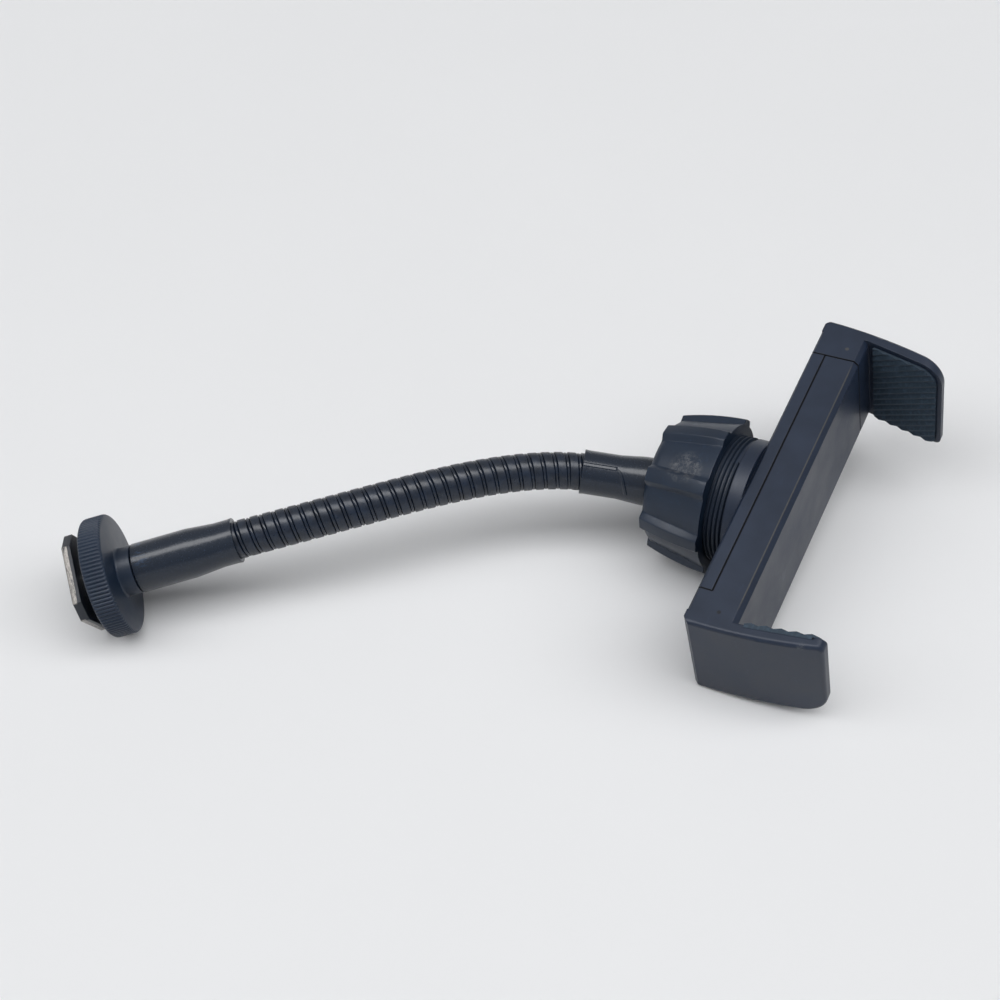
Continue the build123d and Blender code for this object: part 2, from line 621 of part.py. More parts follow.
def pieces():
    made = {
        "shoe_foot": BASE * shoe_foot(),
        "shoe_stud": BASE * shoe_stud(),
        "locking_wheel": BASE * locking_wheel(),
        "base_ferrule": BASE * base_ferrule(),
        "base_sleeve": BASE * base_sleeve(),
        "neck_base_end": BASE * neck_base_end(),
        "neck_head_end": HEAD * neck_head_end(),
        "head_sleeve": HEAD * head_sleeve(),
        "ball_stem": HEAD * ball_stem(),
        "socket_ball": HEAD * socket_ball(),
        "clamp_nut": SOCKET * clamp_nut(),
        "back_cover": CLAMP * back_cover(),
        "cover_screws": [CLAMP * screw for screw in cover_screws()],
        "clamp_body": CLAMP * clamp_body(),
        "lower_jaw_pad": CLAMP * jaw_pad(*FIXED_JAW),
        "sliding_jaw": CLAMP * sliding_jaw(),
        "upper_jaw_pad": CLAMP * jaw_pad(*SLIDING_JAW),
        "jaw_spring_left": CLAMP * jaw_spring(-1),
        "jaw_spring_right": CLAMP * jaw_spring(1),
        "spring_pin_upper": CLAMP * spring_pin_upper(),
        "spring_pin_lower": CLAMP * spring_pin_lower()}
    section = neck_section()
    for i in range(SECTION_COUNT):
        made[f"neck_section_{i + 1}"] = PIVOTS[i] * section
    return made


def solids_of(piece):
    """The piece's solids as one compound."""
    parts = piece if isinstance(piece, list) else [piece]
    return Compound([solid for part in parts for solid in part.solids()])


ASSEMBLY = {name: solids_of(piece) for name, piece in pieces().items()}
WHOLE = Compound(list(ASSEMBLY.values())).bounding_box()
TO_TABLE = Pos(-WHOLE.center().X, -WHOLE.center().Y, -WHOLE.min.Z)

os.makedirs("parts", exist_ok=True)
for name, piece in ASSEMBLY.items():
    export_step(TO_TABLE * piece, f"parts/{name}.step")
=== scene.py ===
"""Looks of a phone holder: shoe foot, locking wheel, wound gooseneck, ball joint and spring clamp."""
import json
import math

import bpy
from bpy.props import FloatProperty, FloatVectorProperty, IntProperty, PointerProperty
from bpy.types import Operator, Panel, PropertyGroup
from mathutils import Matrix, Vector

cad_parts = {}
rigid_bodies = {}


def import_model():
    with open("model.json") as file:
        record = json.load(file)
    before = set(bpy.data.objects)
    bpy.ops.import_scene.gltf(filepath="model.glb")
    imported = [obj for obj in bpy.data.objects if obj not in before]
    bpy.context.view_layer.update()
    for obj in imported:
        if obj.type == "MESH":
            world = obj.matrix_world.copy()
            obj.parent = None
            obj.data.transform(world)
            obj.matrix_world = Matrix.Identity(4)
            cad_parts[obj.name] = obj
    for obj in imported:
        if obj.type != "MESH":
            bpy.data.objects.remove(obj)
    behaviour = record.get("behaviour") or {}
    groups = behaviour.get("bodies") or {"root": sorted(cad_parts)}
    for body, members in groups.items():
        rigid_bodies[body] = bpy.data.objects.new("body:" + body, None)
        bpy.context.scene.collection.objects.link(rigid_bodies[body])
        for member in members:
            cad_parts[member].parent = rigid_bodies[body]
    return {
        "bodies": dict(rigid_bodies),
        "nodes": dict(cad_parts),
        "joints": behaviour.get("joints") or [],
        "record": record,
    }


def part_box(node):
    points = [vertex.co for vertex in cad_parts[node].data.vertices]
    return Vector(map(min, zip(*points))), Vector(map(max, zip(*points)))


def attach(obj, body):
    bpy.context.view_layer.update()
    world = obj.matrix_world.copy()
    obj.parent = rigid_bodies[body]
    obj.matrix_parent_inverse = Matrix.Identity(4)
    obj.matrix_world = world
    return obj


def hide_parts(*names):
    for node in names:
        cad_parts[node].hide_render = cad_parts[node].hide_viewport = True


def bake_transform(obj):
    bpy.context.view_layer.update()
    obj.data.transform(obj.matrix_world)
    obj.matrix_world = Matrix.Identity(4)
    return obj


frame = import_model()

bl_info = {
    "name": "Gooseneck phone holder",
    "version": (1, 0, 0),
    "blender": (4, 5, 0),
    "location": "View3D > Sidebar > Holder",
    "description": "Dresses the solids of a gooseneck phone holder with finished pieces and materials",
    "category": "Add Mesh",
}

MM = 0.001
JOINTS = {joint["name"]: joint for joint in frame["joints"]}
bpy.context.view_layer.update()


# Places taken from the joints

def joint_point(name):
    return Vector(JOINTS[name]["pos_m"])


def joint_axis(name):
    return Vector(JOINTS[name]["axis"]).normalized()


def matrix_of(origin, x, y, z):
    """Placement with the given origin and axes."""
    rows = Matrix((x, y, z)).transposed().to_4x4()
    rows.translation = origin
    return rows


def level_frame(origin, forward):
    """Placement with z forward, x level to the left and y upwards."""
    left = Vector((-forward.y, forward.x, 0)).normalized()
    return matrix_of(origin, left, forward.cross(left), forward)


def base_frame():
    """The base's axis, with z 0 at the foot's outer face."""
    way = joint_axis("wheel_turn")
    return level_frame(joint_point("wheel_turn") - way * sizes().wheel_face, way)


def head_frame():
    """The ball stem's axis, with z 0 at the gooseneck's last pivot."""
    return level_frame(joint_point(NECK_JOINTS[-1]), joint_axis("ball_swivel"))


def clamp_frame():
    """The clamp: x out of its phone face, y along the slide, origin on its back face at the socket."""
    out, along = joint_axis("nut_turn"), joint_axis("jaw_slide")
    origin = joint_point("nut_turn") + out * sizes().ball_standoff
    return matrix_of(origin, out, along, out.cross(along))


def socket_frame():
    """The socket's axis: z out of the phone face, x across the clamp's width, z 0 at the back face."""
    clamp = clamp_frame()
    axes = clamp.to_3x3()
    return matrix_of(clamp.translation, axes.col[2], axes.col[1] * -1, axes.col[0])


def node_middle(node):
    """Middle of a solid's box."""
    low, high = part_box(node)
    return (Vector(low) + Vector(high)) / 2


NECK_JOINTS = [name for name in JOINTS if name.startswith("neck_")]


def sizes():
    return bpy.context.scene.holder_sizes


def colours():
    return bpy.context.scene.holder_colours


# Settings

def length(name, description, default):
    return FloatProperty(name=name, description=description, default=default * MM, unit="LENGTH",
                         precision=5)


def angle(name, description, degrees):
    return FloatProperty(name=name, description=description, default=math.radians(degrees), subtype="ANGLE")


def count(name, description, default):
    return IntProperty(name=name, description=description, default=default, min=1)


def paint(name, description, default):
    return FloatVectorProperty(name=name, description=description, default=default, size=3, min=0, max=1,
                               subtype="COLOR")


class HolderSizes(PropertyGroup):
    """Sizes of the finished pieces."""
    foot_side: length("Foot side", "Width of the square shoe foot", 18.4)
    foot_thick: length("Foot thickness", "Thickness of the shoe foot", 1.9)
    foot_clip: length("Foot corner", "Length clipped off each corner of the foot", 3.2)
    foot_edge: length("Foot edge", "Softened edge of the foot", 0.3)
    foot_roll: angle("Foot turn", "Turn of the foot about the base's axis", 28.7)
    worn_depth: length("Worn depth", "How far up its rim the foot is worn bare", 1.35)
    stud_bore: length("Stud bore", "Radius of the wheel's hole for the stud", 3.16)
    wheel_face: length("Wheel face", "Height of the wheel's neck-side face over the foot's outer face", 8.9)
    wheel_width: length("Wheel width", "Width of the knurled rim", 4.9)
    wheel_radius: length("Wheel radius", "Radius over the knurls", 12.8)
    wheel_round: length("Wheel shoulder", "Rounding of the rim's two shoulders", 0.8)
    knurl_depth: length("Knurl depth", "Depth of the knurled grooves", 0.3)
    knurl_count: count("Knurls", "Number of knurled grooves", 96)
    boss_radius: length("Boss radius", "Radius of the wheel's smooth boss", 5.1)
    boss_length: length("Boss length", "Length of the boss", 3.15)
    sleeve_start: length("Base sleeve start", "Where the base sleeve starts over the foot", 12.35)
    ferrule_end: length("Ferrule end", "Where the ferrule under the base sleeve ends", 23.85)
    taper_end: length("Taper end", "Where the base sleeve has shrunk onto the gooseneck", 29.85)
    sleeve_end: length("Base sleeve end", "Where the base sleeve ends", 33.85)
    ferrule_radius: length("Ferrule radius", "Radius inside the sleeves' wide ends", 4.72)
    sleeve_wide: length("Sleeve wide radius", "Radius of the sleeves' wide ends", 5.22)
    sleeve_narrow: length("Sleeve narrow radius", "Radius of the sleeves over the gooseneck", 4.69)
    sleeve_lip: length("Sleeve lip radius", "Radius of the sleeves' cut ends", 4.79)
    sleeve_bore: length("Sleeve bore", "Radius inside the sleeves over the gooseneck", 4.02)
    head_start: length("Head sleeve start", "Where the head sleeve starts past the last pivot", 0.78)
    head_crease: length("Head sleeve crease", "Where the head sleeve starts to widen", 8.6)
    head_flare: length("Head sleeve flare", "Where the head sleeve has its full width", 14.0)
    head_end: length("Head sleeve end", "Where the head sleeve ends", 17.4)
    neck_radius: length("Neck radius", "Radius over the gooseneck's wide turns", 4.0)
    section_turns: count("Turns", "Turns of wire from one pivot to the next", 3)
    turn_width: length("Turn width", "Width of the wide wire", 1.84)
    turn_edge: length("Turn edge", "Rounding of the wide wire's edges", 0.22)
    wedge_width: length("Wedge width", "Width of the thin wire between the turns", 0.86)
    wedge_sink: length("Wedge depth", "How far the thin wire lies under the wide one", 0.1)
    ball_standoff: length("Ball standoff", "Distance from the clamp's back face to the ball's middle", 13.0)
    nut_front: length("Nut front", "Distance of the nut's rim from the back face", 7.0)
    nut_rear: length("Nut rear", "Distance of the nut's rear end from the back face", 21.0)
    nut_front_radius: length("Nut rim radius", "Radius of the valleys at the rim", 15.8)
    nut_rear_radius: length("Nut rear radius", "Radius of the valleys at the rear", 13.3)
    nut_rear_round: length("Nut rear rounding", "Rounding of the nut's rear edge", 1.5)
    nut_mouth: length("Nut mouth", "Radius of the hole in the nut's rear", 9.9)
    nut_mouth_length: length("Nut mouth depth", "Depth of the straight part of the mouth", 2.6)
    nut_bore: length("Nut bore", "Radius of the nut's threaded bore", 13.3)
    rib_count: count("Ribs", "Number of ribs round the nut", 8)
    rib_height: length("Rib height", "How far a rib stands out", 1.5)
    rib_top: length("Rib top", "Half the width of a rib's flat top", 1.46)
    rib_foot: length("Rib foot", "Half the width of a rib's foot", 2.4)
    rib_end: length("Rib end", "Distance of the ribs' ends from the nut's rear", 0.3)
    rib_bow: length("Rib bow", "How far a rib's ends lie under its middle", 0.45)
    rib_phase: angle("Rib turn", "Angle of the first rib from the clamp's upper side", -12.5)
    barrel_radius: length("Barrel radius", "Radius at the root of the socket's thread", 13.0)
    thread_height: length("Thread height", "Height of the thread over its root", 0.6)
    thread_pitch: length("Thread pitch", "Distance from one thread to the next", 0.95)
    cover_thick: length("Cover thickness", "Where the seam runs along the clamp's sides", 3.0)
    chamfer_start: length("Chamfer start", "Where the chamfer of the phone side starts", 9.3)
    cover_top: length("Cover top", "Place of the seam under the sliding jaw", 33.6)
    cover_bottom: length("Cover bottom", "Place of the seam at the cover's lower end", -30.0)
    disc_thick: length("Disc thickness", "Thickness of the round base under the thread", 2.9)
    spring_wire: length("Spring wire", "Thickness of the jaw springs' wire", 0.5)
    spring_width: length("Spring width", "Outer width of the jaw springs", 3.4)
    spring_loop: length("Spring loop", "Outer width of the springs' end loops", 2.4)
    screw_upper: length("Upper screws", "Place of the upper screws along the slide", 27.0)
    screw_lower: length("Lower screws", "Place of the lower screws along the slide", -23.5)
    screw_across: length("Screws apart", "Place of the screws to each side of the middle", 10.1)
    screw_sink: length("Screw sink", "Depth of the screw heads under the back face", 0.4)
    screw_head_radius: length("Screw head radius", "Radius of the screw heads", 1.3)
    screw_head_height: length("Screw head height", "Height of the screw heads", 1.1)
    screw_radius: length("Screw radius", "Radius of the screws' shanks", 0.8)
    screw_length: length("Screw length", "Length of the screws", 7.0)


class HolderColours(PropertyGroup):
    """Colours of the finishes."""
    plastic: paint("Clamp plastic", "Moulded plastic of the clamp", (0.0095, 0.0175, 0.0370))
    nut: paint("Nut plastic", "Moulded plastic of the nut", (0.0080, 0.0170, 0.0350))
    wheel: paint("Wheel plastic", "Moulded plastic of the wheel", (0.0090, 0.0185, 0.0380))
    vinyl: paint("Sleeve vinyl", "Shrunk-on sleeves", (0.0050, 0.0115, 0.0245))
    wire: paint("Gooseneck coat", "Black coat of the wound wires", (0.0050, 0.0105, 0.0225))
    rubber: paint("Pad rubber", "Rubber of the jaw pads", (0.0290, 0.0450, 0.0650))
    paint: paint("Foot paint", "Black paint of the foot", (0.0090, 0.0125, 0.0200))
    bare: paint("Bare metal", "Metal where the paint is worn off", (0.40, 0.38, 0.36))
    steel: paint("Steel", "Plated springs, pins and screws", (0.52, 0.53, 0.55))
    # Scuffs and chips; also the base tone of the painted highlight along the clamp's chamfer
    bruise_and_highlight: paint("Bruise", "Scuffed and chipped plastic", (0.16, 0.165, 0.175))
    table: paint("Table", "Pale table top", (0.85, 0.858, 0.872))


# Meshes

def add_mesh(name, points, faces, smooth_angle=38):
    """Mesh object with smooth faces that break at sharp edges."""
    mesh = bpy.data.meshes.new(name)
    mesh.from_pydata(points, [], faces)
    mesh.update()
    mesh.shade_smooth()
    mesh.set_sharp_from_angle(angle=math.radians(smooth_angle))
    piece = bpy.data.objects.new(name, mesh)
    bpy.context.scene.collection.objects.link(piece)
    return piece


def rows_to_mesh(rows, loop_rows=False, cap=False):
    """Points and faces of a skin over rows of points, each row a closed ring."""
    width = len(rows[0])
    points = [point for row in rows for point in row]
    faces = []
    last = len(rows) if loop_rows else len(rows) - 1
    for r in range(last):
        a, b = r * width, (r + 1) % len(rows) * width
        for c in range(width):
            d = (c + 1) % width
            faces.append((a + c, a + d, b + d, b + c))
    if cap:
        faces.append(tuple(reversed(range(width))))
        faces.append(tuple(range((len(rows) - 1) * width, len(rows) * width)))
    return points, faces


def joined(*skins):
    """One list of points and faces from several."""
    points, faces = [], []
    for more_points, more_faces in skins:
        start = len(points)
        points += more_points
        faces += [tuple(i + start for i in face) for face in more_faces]
    return points, faces


def ring(radius, height, segments):
    """Circle of points about z."""
    steps = [math.tau * i / segments for i in range(segments)]
    return [Vector((radius * math.cos(a), radius * math.sin(a), height)) for a in steps]


def rounded(corner, before, after, radius, steps=4):
    """Points of a round corner in an outline of (radius, height) pairs."""
    corner, before, after = Vector(corner), Vector(before), Vector(after)
    one, two = (before - corner).normalized(), (after - corner).normalized()
    half = one.angle(two) / 2
    reach = radius / math.tan(half)
    middle = corner + (one + two).normalized() * (radius / math.sin(half))
    start, end = corner + one * reach - middle, corner + two * reach - middle
    turn = -start.angle_signed(end) / steps
    spins = [Matrix.Rotation(turn * i, 2) for i in range(steps + 1)]
    return [tuple(middle + spin @ start) for spin in spins]


def outline(corners):
    """Closed outline of (radius, height) points from (radius, height, rounding) corners."""
    points = []
    for i, (radius, height, bend) in enumerate(corners):
        before, after = corners[i - 1], corners[(i + 1) % len(corners)]
        points += rounded((radius, height), before[:2], after[:2], bend) if bend else [(radius, height)]
    return points


def lathe(name, corners, segments=128):
    """Ring-shaped piece turned about z from a closed outline."""
    rows = [ring(radius, height, segments) for radius, height in outline(corners)]
    return add_mesh(name, *rows_to_mesh(rows, loop_rows=True))


def carried_frames(points):
    """Direction and side vectors along a line of points, carried along without twist."""
    side = Vector((0, 0, 1))
    frames = []
    for i, point in enumerate(points):
        way = (points[min(i + 1, len(points) - 1)] - points[max(i - 1, 0)]).normalized()
        side = (side - way * side.dot(way)).normalized()
        frames.append((point, way, side, way.cross(side)))
    return frames


def tube(points, radius, sides=8):
    """Points and faces of a round wire along a line of points."""
    spins = [math.tau * i / sides for i in range(sides)]
    rows = []
    for point, way, side, other in carried_frames(points):
        rows.append([point + (side * math.cos(a) + other * math.sin(a)) * radius for a in spins])
    return rows_to_mesh(rows, cap=True)


def place(piece, matrix, body, material, slot, *nodes):
    """Puts a finished piece on its body, in its material, in the place of the solids it stands for."""
    piece.matrix_world = matrix
    piece.data.materials.append(material)
    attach(piece, body)
    if nodes:
        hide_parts(*nodes)
    return piece


def dress_node(name, material, smooth_angle=32):
    """Gives a solid its material, smooth on its curved faces."""
    node = frame["nodes"][name]
    node.data.materials.clear()
    node.data.materials.append(material)
    node.data.shade_smooth()
    node.data.set_sharp_from_angle(angle=math.radians(smooth_angle))
    return node


# Materials

class Finish:
    """One material's node tree, with short calls that add nodes and join them."""

    def __init__(self, name, colour, roughness):
        self.material = bpy.data.materials.new(name)
        self.material.use_nodes = True
        self.tree = self.material.node_tree
        self.tree.nodes.clear()
        self.shader = self.add("ShaderNodeBsdfPrincipled")
        self.constant("Base Color", (*colour, 1))
        self.constant("Roughness", roughness)
        output = self.add("ShaderNodeOutputMaterial")
        self.join(self.shader.outputs["BSDF"], output.inputs["Surface"])
        self.place = self.add("ShaderNodeTexCoord").outputs["Object"]

    def add(self, kind, **settings):
        node = self.tree.nodes.new(kind)
        for key, value in settings.items():
            setattr(node, key, value)
        return node

    def join(self, source, target):
        self.tree.links.new(source, target)

    def constant(self, socket, value):
        """Sets one of the shader's own sockets to a fixed value."""
        self.shader.inputs[socket].default_value = value

    def axis(self, name):
        """One coordinate of the shaded place."""
        split = self.add("ShaderNodeSeparateXYZ")
        self.join(self.place, split.inputs["Vector"])
        return split.outputs[name]

    def seated(self, frame):
        """Takes the places from another frame from here on."""
        into = frame.inverted()
        mapping = self.add("ShaderNodeMapping")
        mapping.inputs["Location"].default_value = into.translation
        mapping.inputs["Rotation"].default_value = into.to_euler()
        self.join(self.place, mapping.inputs["Vector"])
        self.place = mapping.outputs["Vector"]

    def near(self, value, middle, reach):
        """1 where a value is at its middle, falling to 0 at a distance from it."""
        away = self.maths("ABSOLUTE", self.maths("SUBTRACT", value, middle), 0)
        return self.fall(away, reach / 2, reach)

    def soft_edges(self, radius_mm, samples=6):
        """Rounds the shading of sharp edges."""
        node = self.add("ShaderNodeBevel", samples=samples)
        node.inputs["Radius"].default_value = radius_mm * MM
        self.join(node.outputs["Normal"], self.shader.inputs["Normal"])

    def stretched(self, scale):
        """Coordinates scaled differently along each axis."""
        mapping = self.add("ShaderNodeMapping")
        mapping.inputs["Scale"].default_value = scale
        self.join(self.place, mapping.inputs["Vector"])
        return mapping.outputs["Vector"]

    def noise(self, per_mm, detail=3.0, rough=0.55, where=None):
        node = self.add("ShaderNodeTexNoise")
        node.inputs["Scale"].default_value = per_mm / MM
        node.inputs["Detail"].default_value = detail
        node.inputs["Roughness"].default_value = rough
        self.join(where or self.place, node.inputs["Vector"])
        return node.outputs["Fac"]

    def spread(self, value, low, high, to_low=0.0, to_high=1.0):
        """Value remapped from one range to another, clamped."""
        node = self.add("ShaderNodeMapRange")
        for key, number in (("From Min", low), ("From Max", high), ("To Min", to_low), ("To Max", to_high)):
            node.inputs[key].default_value = number
        self.join(value, node.inputs["Value"])
        return node.outputs["Result"]

    def fall(self, value, low, high):
        """1 up to a low value, falling to 0 at a high one."""
        return self.spread(value, low, high, 1.0, 0.0)

    def maths(self, operation, one, two):
        node = self.add("ShaderNodeMath", operation=operation)
        for socket, value in zip(node.inputs, (one, two)):
            if isinstance(value, (int, float)):
                socket.default_value = value
            else:
                self.join(value, socket)
        return node.outputs["Value"]

    def both(self, one, two):
        """Where two masks overlap."""
        return self.maths("MULTIPLY", one, two)

    def either(self, one, two):
        """The larger of two values."""
        return self.maths("MAXIMUM", one, two)

    def spot(self, middle, radius):
        """1 about a point of the piece, falling to 0 at a distance from it."""
        node = self.add("ShaderNodeVectorMath", operation="DISTANCE")
        node.inputs[1].default_value = middle
        self.join(self.place, node.inputs[0])
        return self.fall(node.outputs["Value"], radius / 2, radius)

    def tint(self, factor, one, two):
        """Colour between two colours."""
        node = self.add("ShaderNodeMix", data_type="RGBA")
        self.join(factor, node.inputs["Factor"])
        for key, colour in (("A", one), ("B", two)):
            socket = next(s for s in node.inputs if s.name == key and s.type == "RGBA")
            if isinstance(colour, (tuple, list)):
                socket.default_value = (*colour, 1)
            else:
                self.join(colour, socket)
        return next(s for s in node.outputs if s.type == "RGBA")

    def colour(self, socket):
        self.join(socket, self.shader.inputs["Base Color"])

    def roughness(self, socket):
        self.join(socket, self.shader.inputs["Roughness"])

    def bump(self, height, depth_mm, strength=1.0):
        node = self.add("ShaderNodeBump")
        node.inputs["Strength"].default_value = strength
        node.inputs["Distance"].default_value = depth_mm * MM
        self.join(height, node.inputs["Height"])
        previous = self.shader.inputs["Normal"].links
        if previous:
            self.join(previous[0].from_socket, node.inputs["Normal"])
        self.join(node.outputs["Normal"], self.shader.inputs["Normal"])


def lighter(colour, factor):
    """A colour made lighter, or darker with a factor under 1."""
    return tuple(min(1.0, c * factor) for c in colour)


def moulded_plastic(name, colour, roughness, scuff, grain_mm, scuffs=()):
    """Moulded plastic: fine grain, cloudy gloss, faint rubbed marks and (middle, radius) scuffs."""
    finish = Finish(name, colour, roughness)
    finish.soft_edges(radius_mm=0.22)
    plastic_shade(finish, colour, roughness, scuff, grain_mm, scuffs)
    return finish.material


def plastic_shade(finish, colour, roughness, scuff, grain_mm, scuffs):
    """Colour, gloss and grain of moulded plastic; gives the colour and the roughness."""
    gloss_swing, rubbed_gloss = 0.06, 0.2
    cloud = finish.noise(per_mm=0.12, detail=4)
    marks = finish.noise(per_mm=0.9, detail=6, rough=0.7, where=finish.stretched((1, 0.22, 0.5)))
    rubbed = finish.spread(marks, 0.60, 0.72, 0, scuff)
    shade = finish.tint(finish.spread(cloud, 0.3, 0.7), lighter(colour, 0.88), lighter(colour, 1.14))
    shade = finish.tint(rubbed, shade, lighter(colour, 2.0))
    rough = finish.spread(cloud, 0.25, 0.75, roughness - gloss_swing, roughness + gloss_swing)
    rough = finish.maths("SUBTRACT", rough, finish.maths("MULTIPLY", rubbed, rubbed_gloss))
    speckle = finish.spread(finish.noise(per_mm=0.8, detail=7, rough=0.85), 0.47, 0.72)
    for middle, radius in scuffs:
        patch = finish.both(finish.spot(middle, radius), speckle)
        shade = finish.tint(patch, shade, tuple(colours().bruise_and_highlight))
    finish.colour(shade)
    finish.roughness(rough)
    finish.constant("Specular IOR Level", 0.4)
    finish.bump(finish.noise(per_mm=5.0, detail=2), grain_mm, strength=0.5)
    return shade, rough


# Marks on the clamp, in its own frame
JAW_CHIP = ((23.4 * MM, -36.1 * MM, 11.7 * MM), 1.1 * MM)
PALE_MARK = (6.8 * MM, 36.5 * MM, 12.0 * MM)
DARK_MARK = (6.1 * MM, -34.2 * MM, 12.0 * MM)
MARK_RADIUS = 0.55 * MM


def clamp_shade():
    """Clamp plastic with painted shade along the seam lines, a painted highlight along the chamfer's edge,
    a chip on the lower jaw and two moulding marks.
    """
    colour, roughness = tuple(colours().plastic), 0.42
    # Tone of the pale moulding mark and of the painted highlight along the chamfer's edge
    rubbed = lighter(tuple(colours().bruise_and_highlight), 0.3)
    finish = Finish("clamp_finish", colour, roughness)
    finish.soft_edges(radius_mm=0.3)
    finish.seated(clamp_frame())
    shade, rough = plastic_shade(finish, colour, roughness, scuff=0.25, grain_mm=0.014, scuffs=[JAW_CHIP])
    seam_shade = clamp_seam_shade(finish)
    # Painted shade along the seam lines of the cover and the sliding jaw
    shade = finish.tint(seam_shade, shade, lighter(colour, 0.12))
    # Painted highlight along the edge where the chamfer starts
    shade = finish.tint(chamfer_highlight(finish), shade, rubbed)
    for middle, tone in ((PALE_MARK, rubbed), (DARK_MARK, lighter(colour, 0.2))):
        shade = finish.tint(finish.spot(middle, MARK_RADIUS), shade, tone)
    finish.colour(shade)
    # The painted seam shade also takes the gloss out of the seam lines
    finish.roughness(finish.either(rough, seam_shade))
    return finish.material


def clamp_seam_shade(finish):
    """Painted shade: 1 along the seam lines round the back cover and under the sliding jaw."""
    size, reach, end = sizes(), 0.26 * MM, 0.1 * MM
    out, along = finish.axis("X"), finish.axis("Y")
    behind = finish.fall(out, size.cover_thick, size.cover_thick + end)
    below_top = finish.fall(along, size.cover_top, size.cover_top + end)
    above_end = finish.spread(along, size.cover_bottom - end, size.cover_bottom)
    beside = finish.both(finish.near(out, size.cover_thick, reach), below_top)
    under = finish.both(finish.near(along, size.cover_bottom, reach), behind)
    over = finish.near(along, size.cover_top, reach)
    return finish.either(finish.both(beside, above_end), finish.either(under, over))


def chamfer_highlight(finish):
    """Painted highlight: 1 along the edge where the chamfer of the phone side starts, between the jaws."""
    size, reach, fade = sizes(), 0.17 * MM, 3 * MM
    off_middle = finish.maths("ABSOLUTE", finish.axis("Y"), 0)
    between = finish.fall(off_middle, -size.cover_bottom, fade - size.cover_bottom)
    return finish.both(finish.near(finish.axis("X"), size.chamfer_start, reach), between)


def vinyl_finish(name):
    """Glossy shrunk-on sleeve with a slightly uneven, dusty skin; gives the finish and its colour."""
    colour = tuple(colours().vinyl)
    finish = Finish(name, colour, roughness=0.22)
    dust = finish.noise(per_mm=2.4, detail=5, rough=0.7)
    shade = finish.tint(finish.spread(dust, 0.62, 0.8), colour, lighter(colour, 3.0))
    finish.roughness(finish.spread(dust, 0.3, 0.75, 0.16, 0.32))
    finish.bump(finish.noise(per_mm=0.22, detail=3), depth_mm=0.12, strength=0.5)
    return finish, shade


def base_vinyl():
    """Sleeve vinyl with a pale scratch and a dull patch near the wheel."""
    finish, shade = vinyl_finish("base_vinyl")
    colour = tuple(colours().vinyl)
    scratch = ((2.4 * MM, 4.8 * MM, 13.9 * MM), 1.2 * MM, 12.0)
    dull_patch = ((-2.0 * MM, 5.0 * MM, 14.6 * MM), 2.4 * MM, 3.0)
    grain = finish.noise(per_mm=2.2, detail=4, rough=0.6, where=finish.stretched((1, 1, 0.25)))
    lines = finish.spread(grain, 0.5, 0.6)
    for middle, radius, paleness in (scratch, dull_patch):
        mark = finish.both(finish.spot(middle, radius), lines)
        shade = finish.tint(mark, shade, lighter(colour, paleness))
    finish.colour(shade)
    return finish.material


def head_vinyl():
    """Sleeve vinyl with a fold along its upper side that turns round it where it widens."""
    finish, shade = vinyl_finish("head_vinyl")
    finish.colour(shade)
    fold_turn, fold_half, fold_end, fold_fade = 1.99, 0.10, 7.7 * MM, 0.4 * MM
    slant, slant_power, turn_fade, crease_half = 2.6 * MM, 0.55, 0.06, 0.45 * MM
    along = finish.axis("Z")
    turn = finish.maths("ARCTAN2", finish.axis("Y"), finish.axis("X"))
    before = finish.fall(along, fold_end, fold_end + fold_fade)
    ridge = finish.both(finish.near(turn, fold_turn, fold_half), before)
    round_by = finish.either(finish.maths("SUBTRACT", turn, fold_turn), 0)
    lean = finish.maths("MULTIPLY", finish.maths("POWER", round_by, slant_power), slant)
    beyond = finish.spread(turn, fold_turn, fold_turn + turn_fade)
    crease = finish.near(finish.maths("SUBTRACT", along, lean), fold_end, crease_half)
    finish.bump(finish.either(ridge, finish.both(crease, beyond)), depth_mm=0.22, strength=0.7)
    return finish.material


def coated_wire(name, roughness):
    """Black coat on a wound wire, cloudy where it has been handled."""
    colour = tuple(colours().wire)
    finish = Finish(name, colour, roughness)
    cloud = finish.spread(finish.noise(per_mm=0.5, detail=4), 0.35, 0.75)
    finish.colour(finish.tint(cloud, lighter(colour, 0.8), lighter(colour, 1.6)))
    handled = finish.noise(per_mm=1.6, detail=4)
    finish.roughness(finish.spread(handled, 0.3, 0.7, roughness - 0.06, roughness + 0.1))
    finish.bump(finish.noise(per_mm=4.0, detail=2), depth_mm=0.01, strength=0.4)
    return finish.material


def worn_paint():
    """Black paint on the foot, worn to streaks of bare metal along the outer part of its rim."""
    colour, bare = tuple(colours().paint), tuple(colours().bare)
    half, depth = sizes().foot_side / 2, sizes().worn_depth
    finish = Finish("worn_paint", colour, roughness=0.42)
    along = finish.maths("ABSOLUTE", finish.axis("X"), 0)
    across = finish.maths("ABSOLUTE", finish.axis("Y"), 0)
    near_rim = finish.spread(finish.either(along, across), half - 0.6 * MM, half - 0.05 * MM)
    outer = finish.fall(finish.axis("Z"), depth - 0.25 * MM, depth + 0.1 * MM)
    streaks = finish.stretched((0.28, 0.28, 1.3))
    speckle = finish.noise(per_mm=2.6, detail=5, rough=0.75, where=streaks)
    wear = finish.spread(finish.both(finish.both(near_rim, outer), speckle), 0.33, 0.50)
    shine = finish.noise(per_mm=3.8, detail=4, rough=0.8, where=streaks)
    metal = finish.tint(finish.spread(shine, 0.35, 0.65), lighter(bare, 0.5), bare)
    finish.colour(finish.tint(wear, colour, metal))
    finish.join(wear, finish.shader.inputs["Metallic"])
    finish.roughness(finish.spread(shine, 0.3, 0.7, 0.3, 0.5))
    finish.bump(speckle, depth_mm=0.05, strength=0.5)
    return finish.material


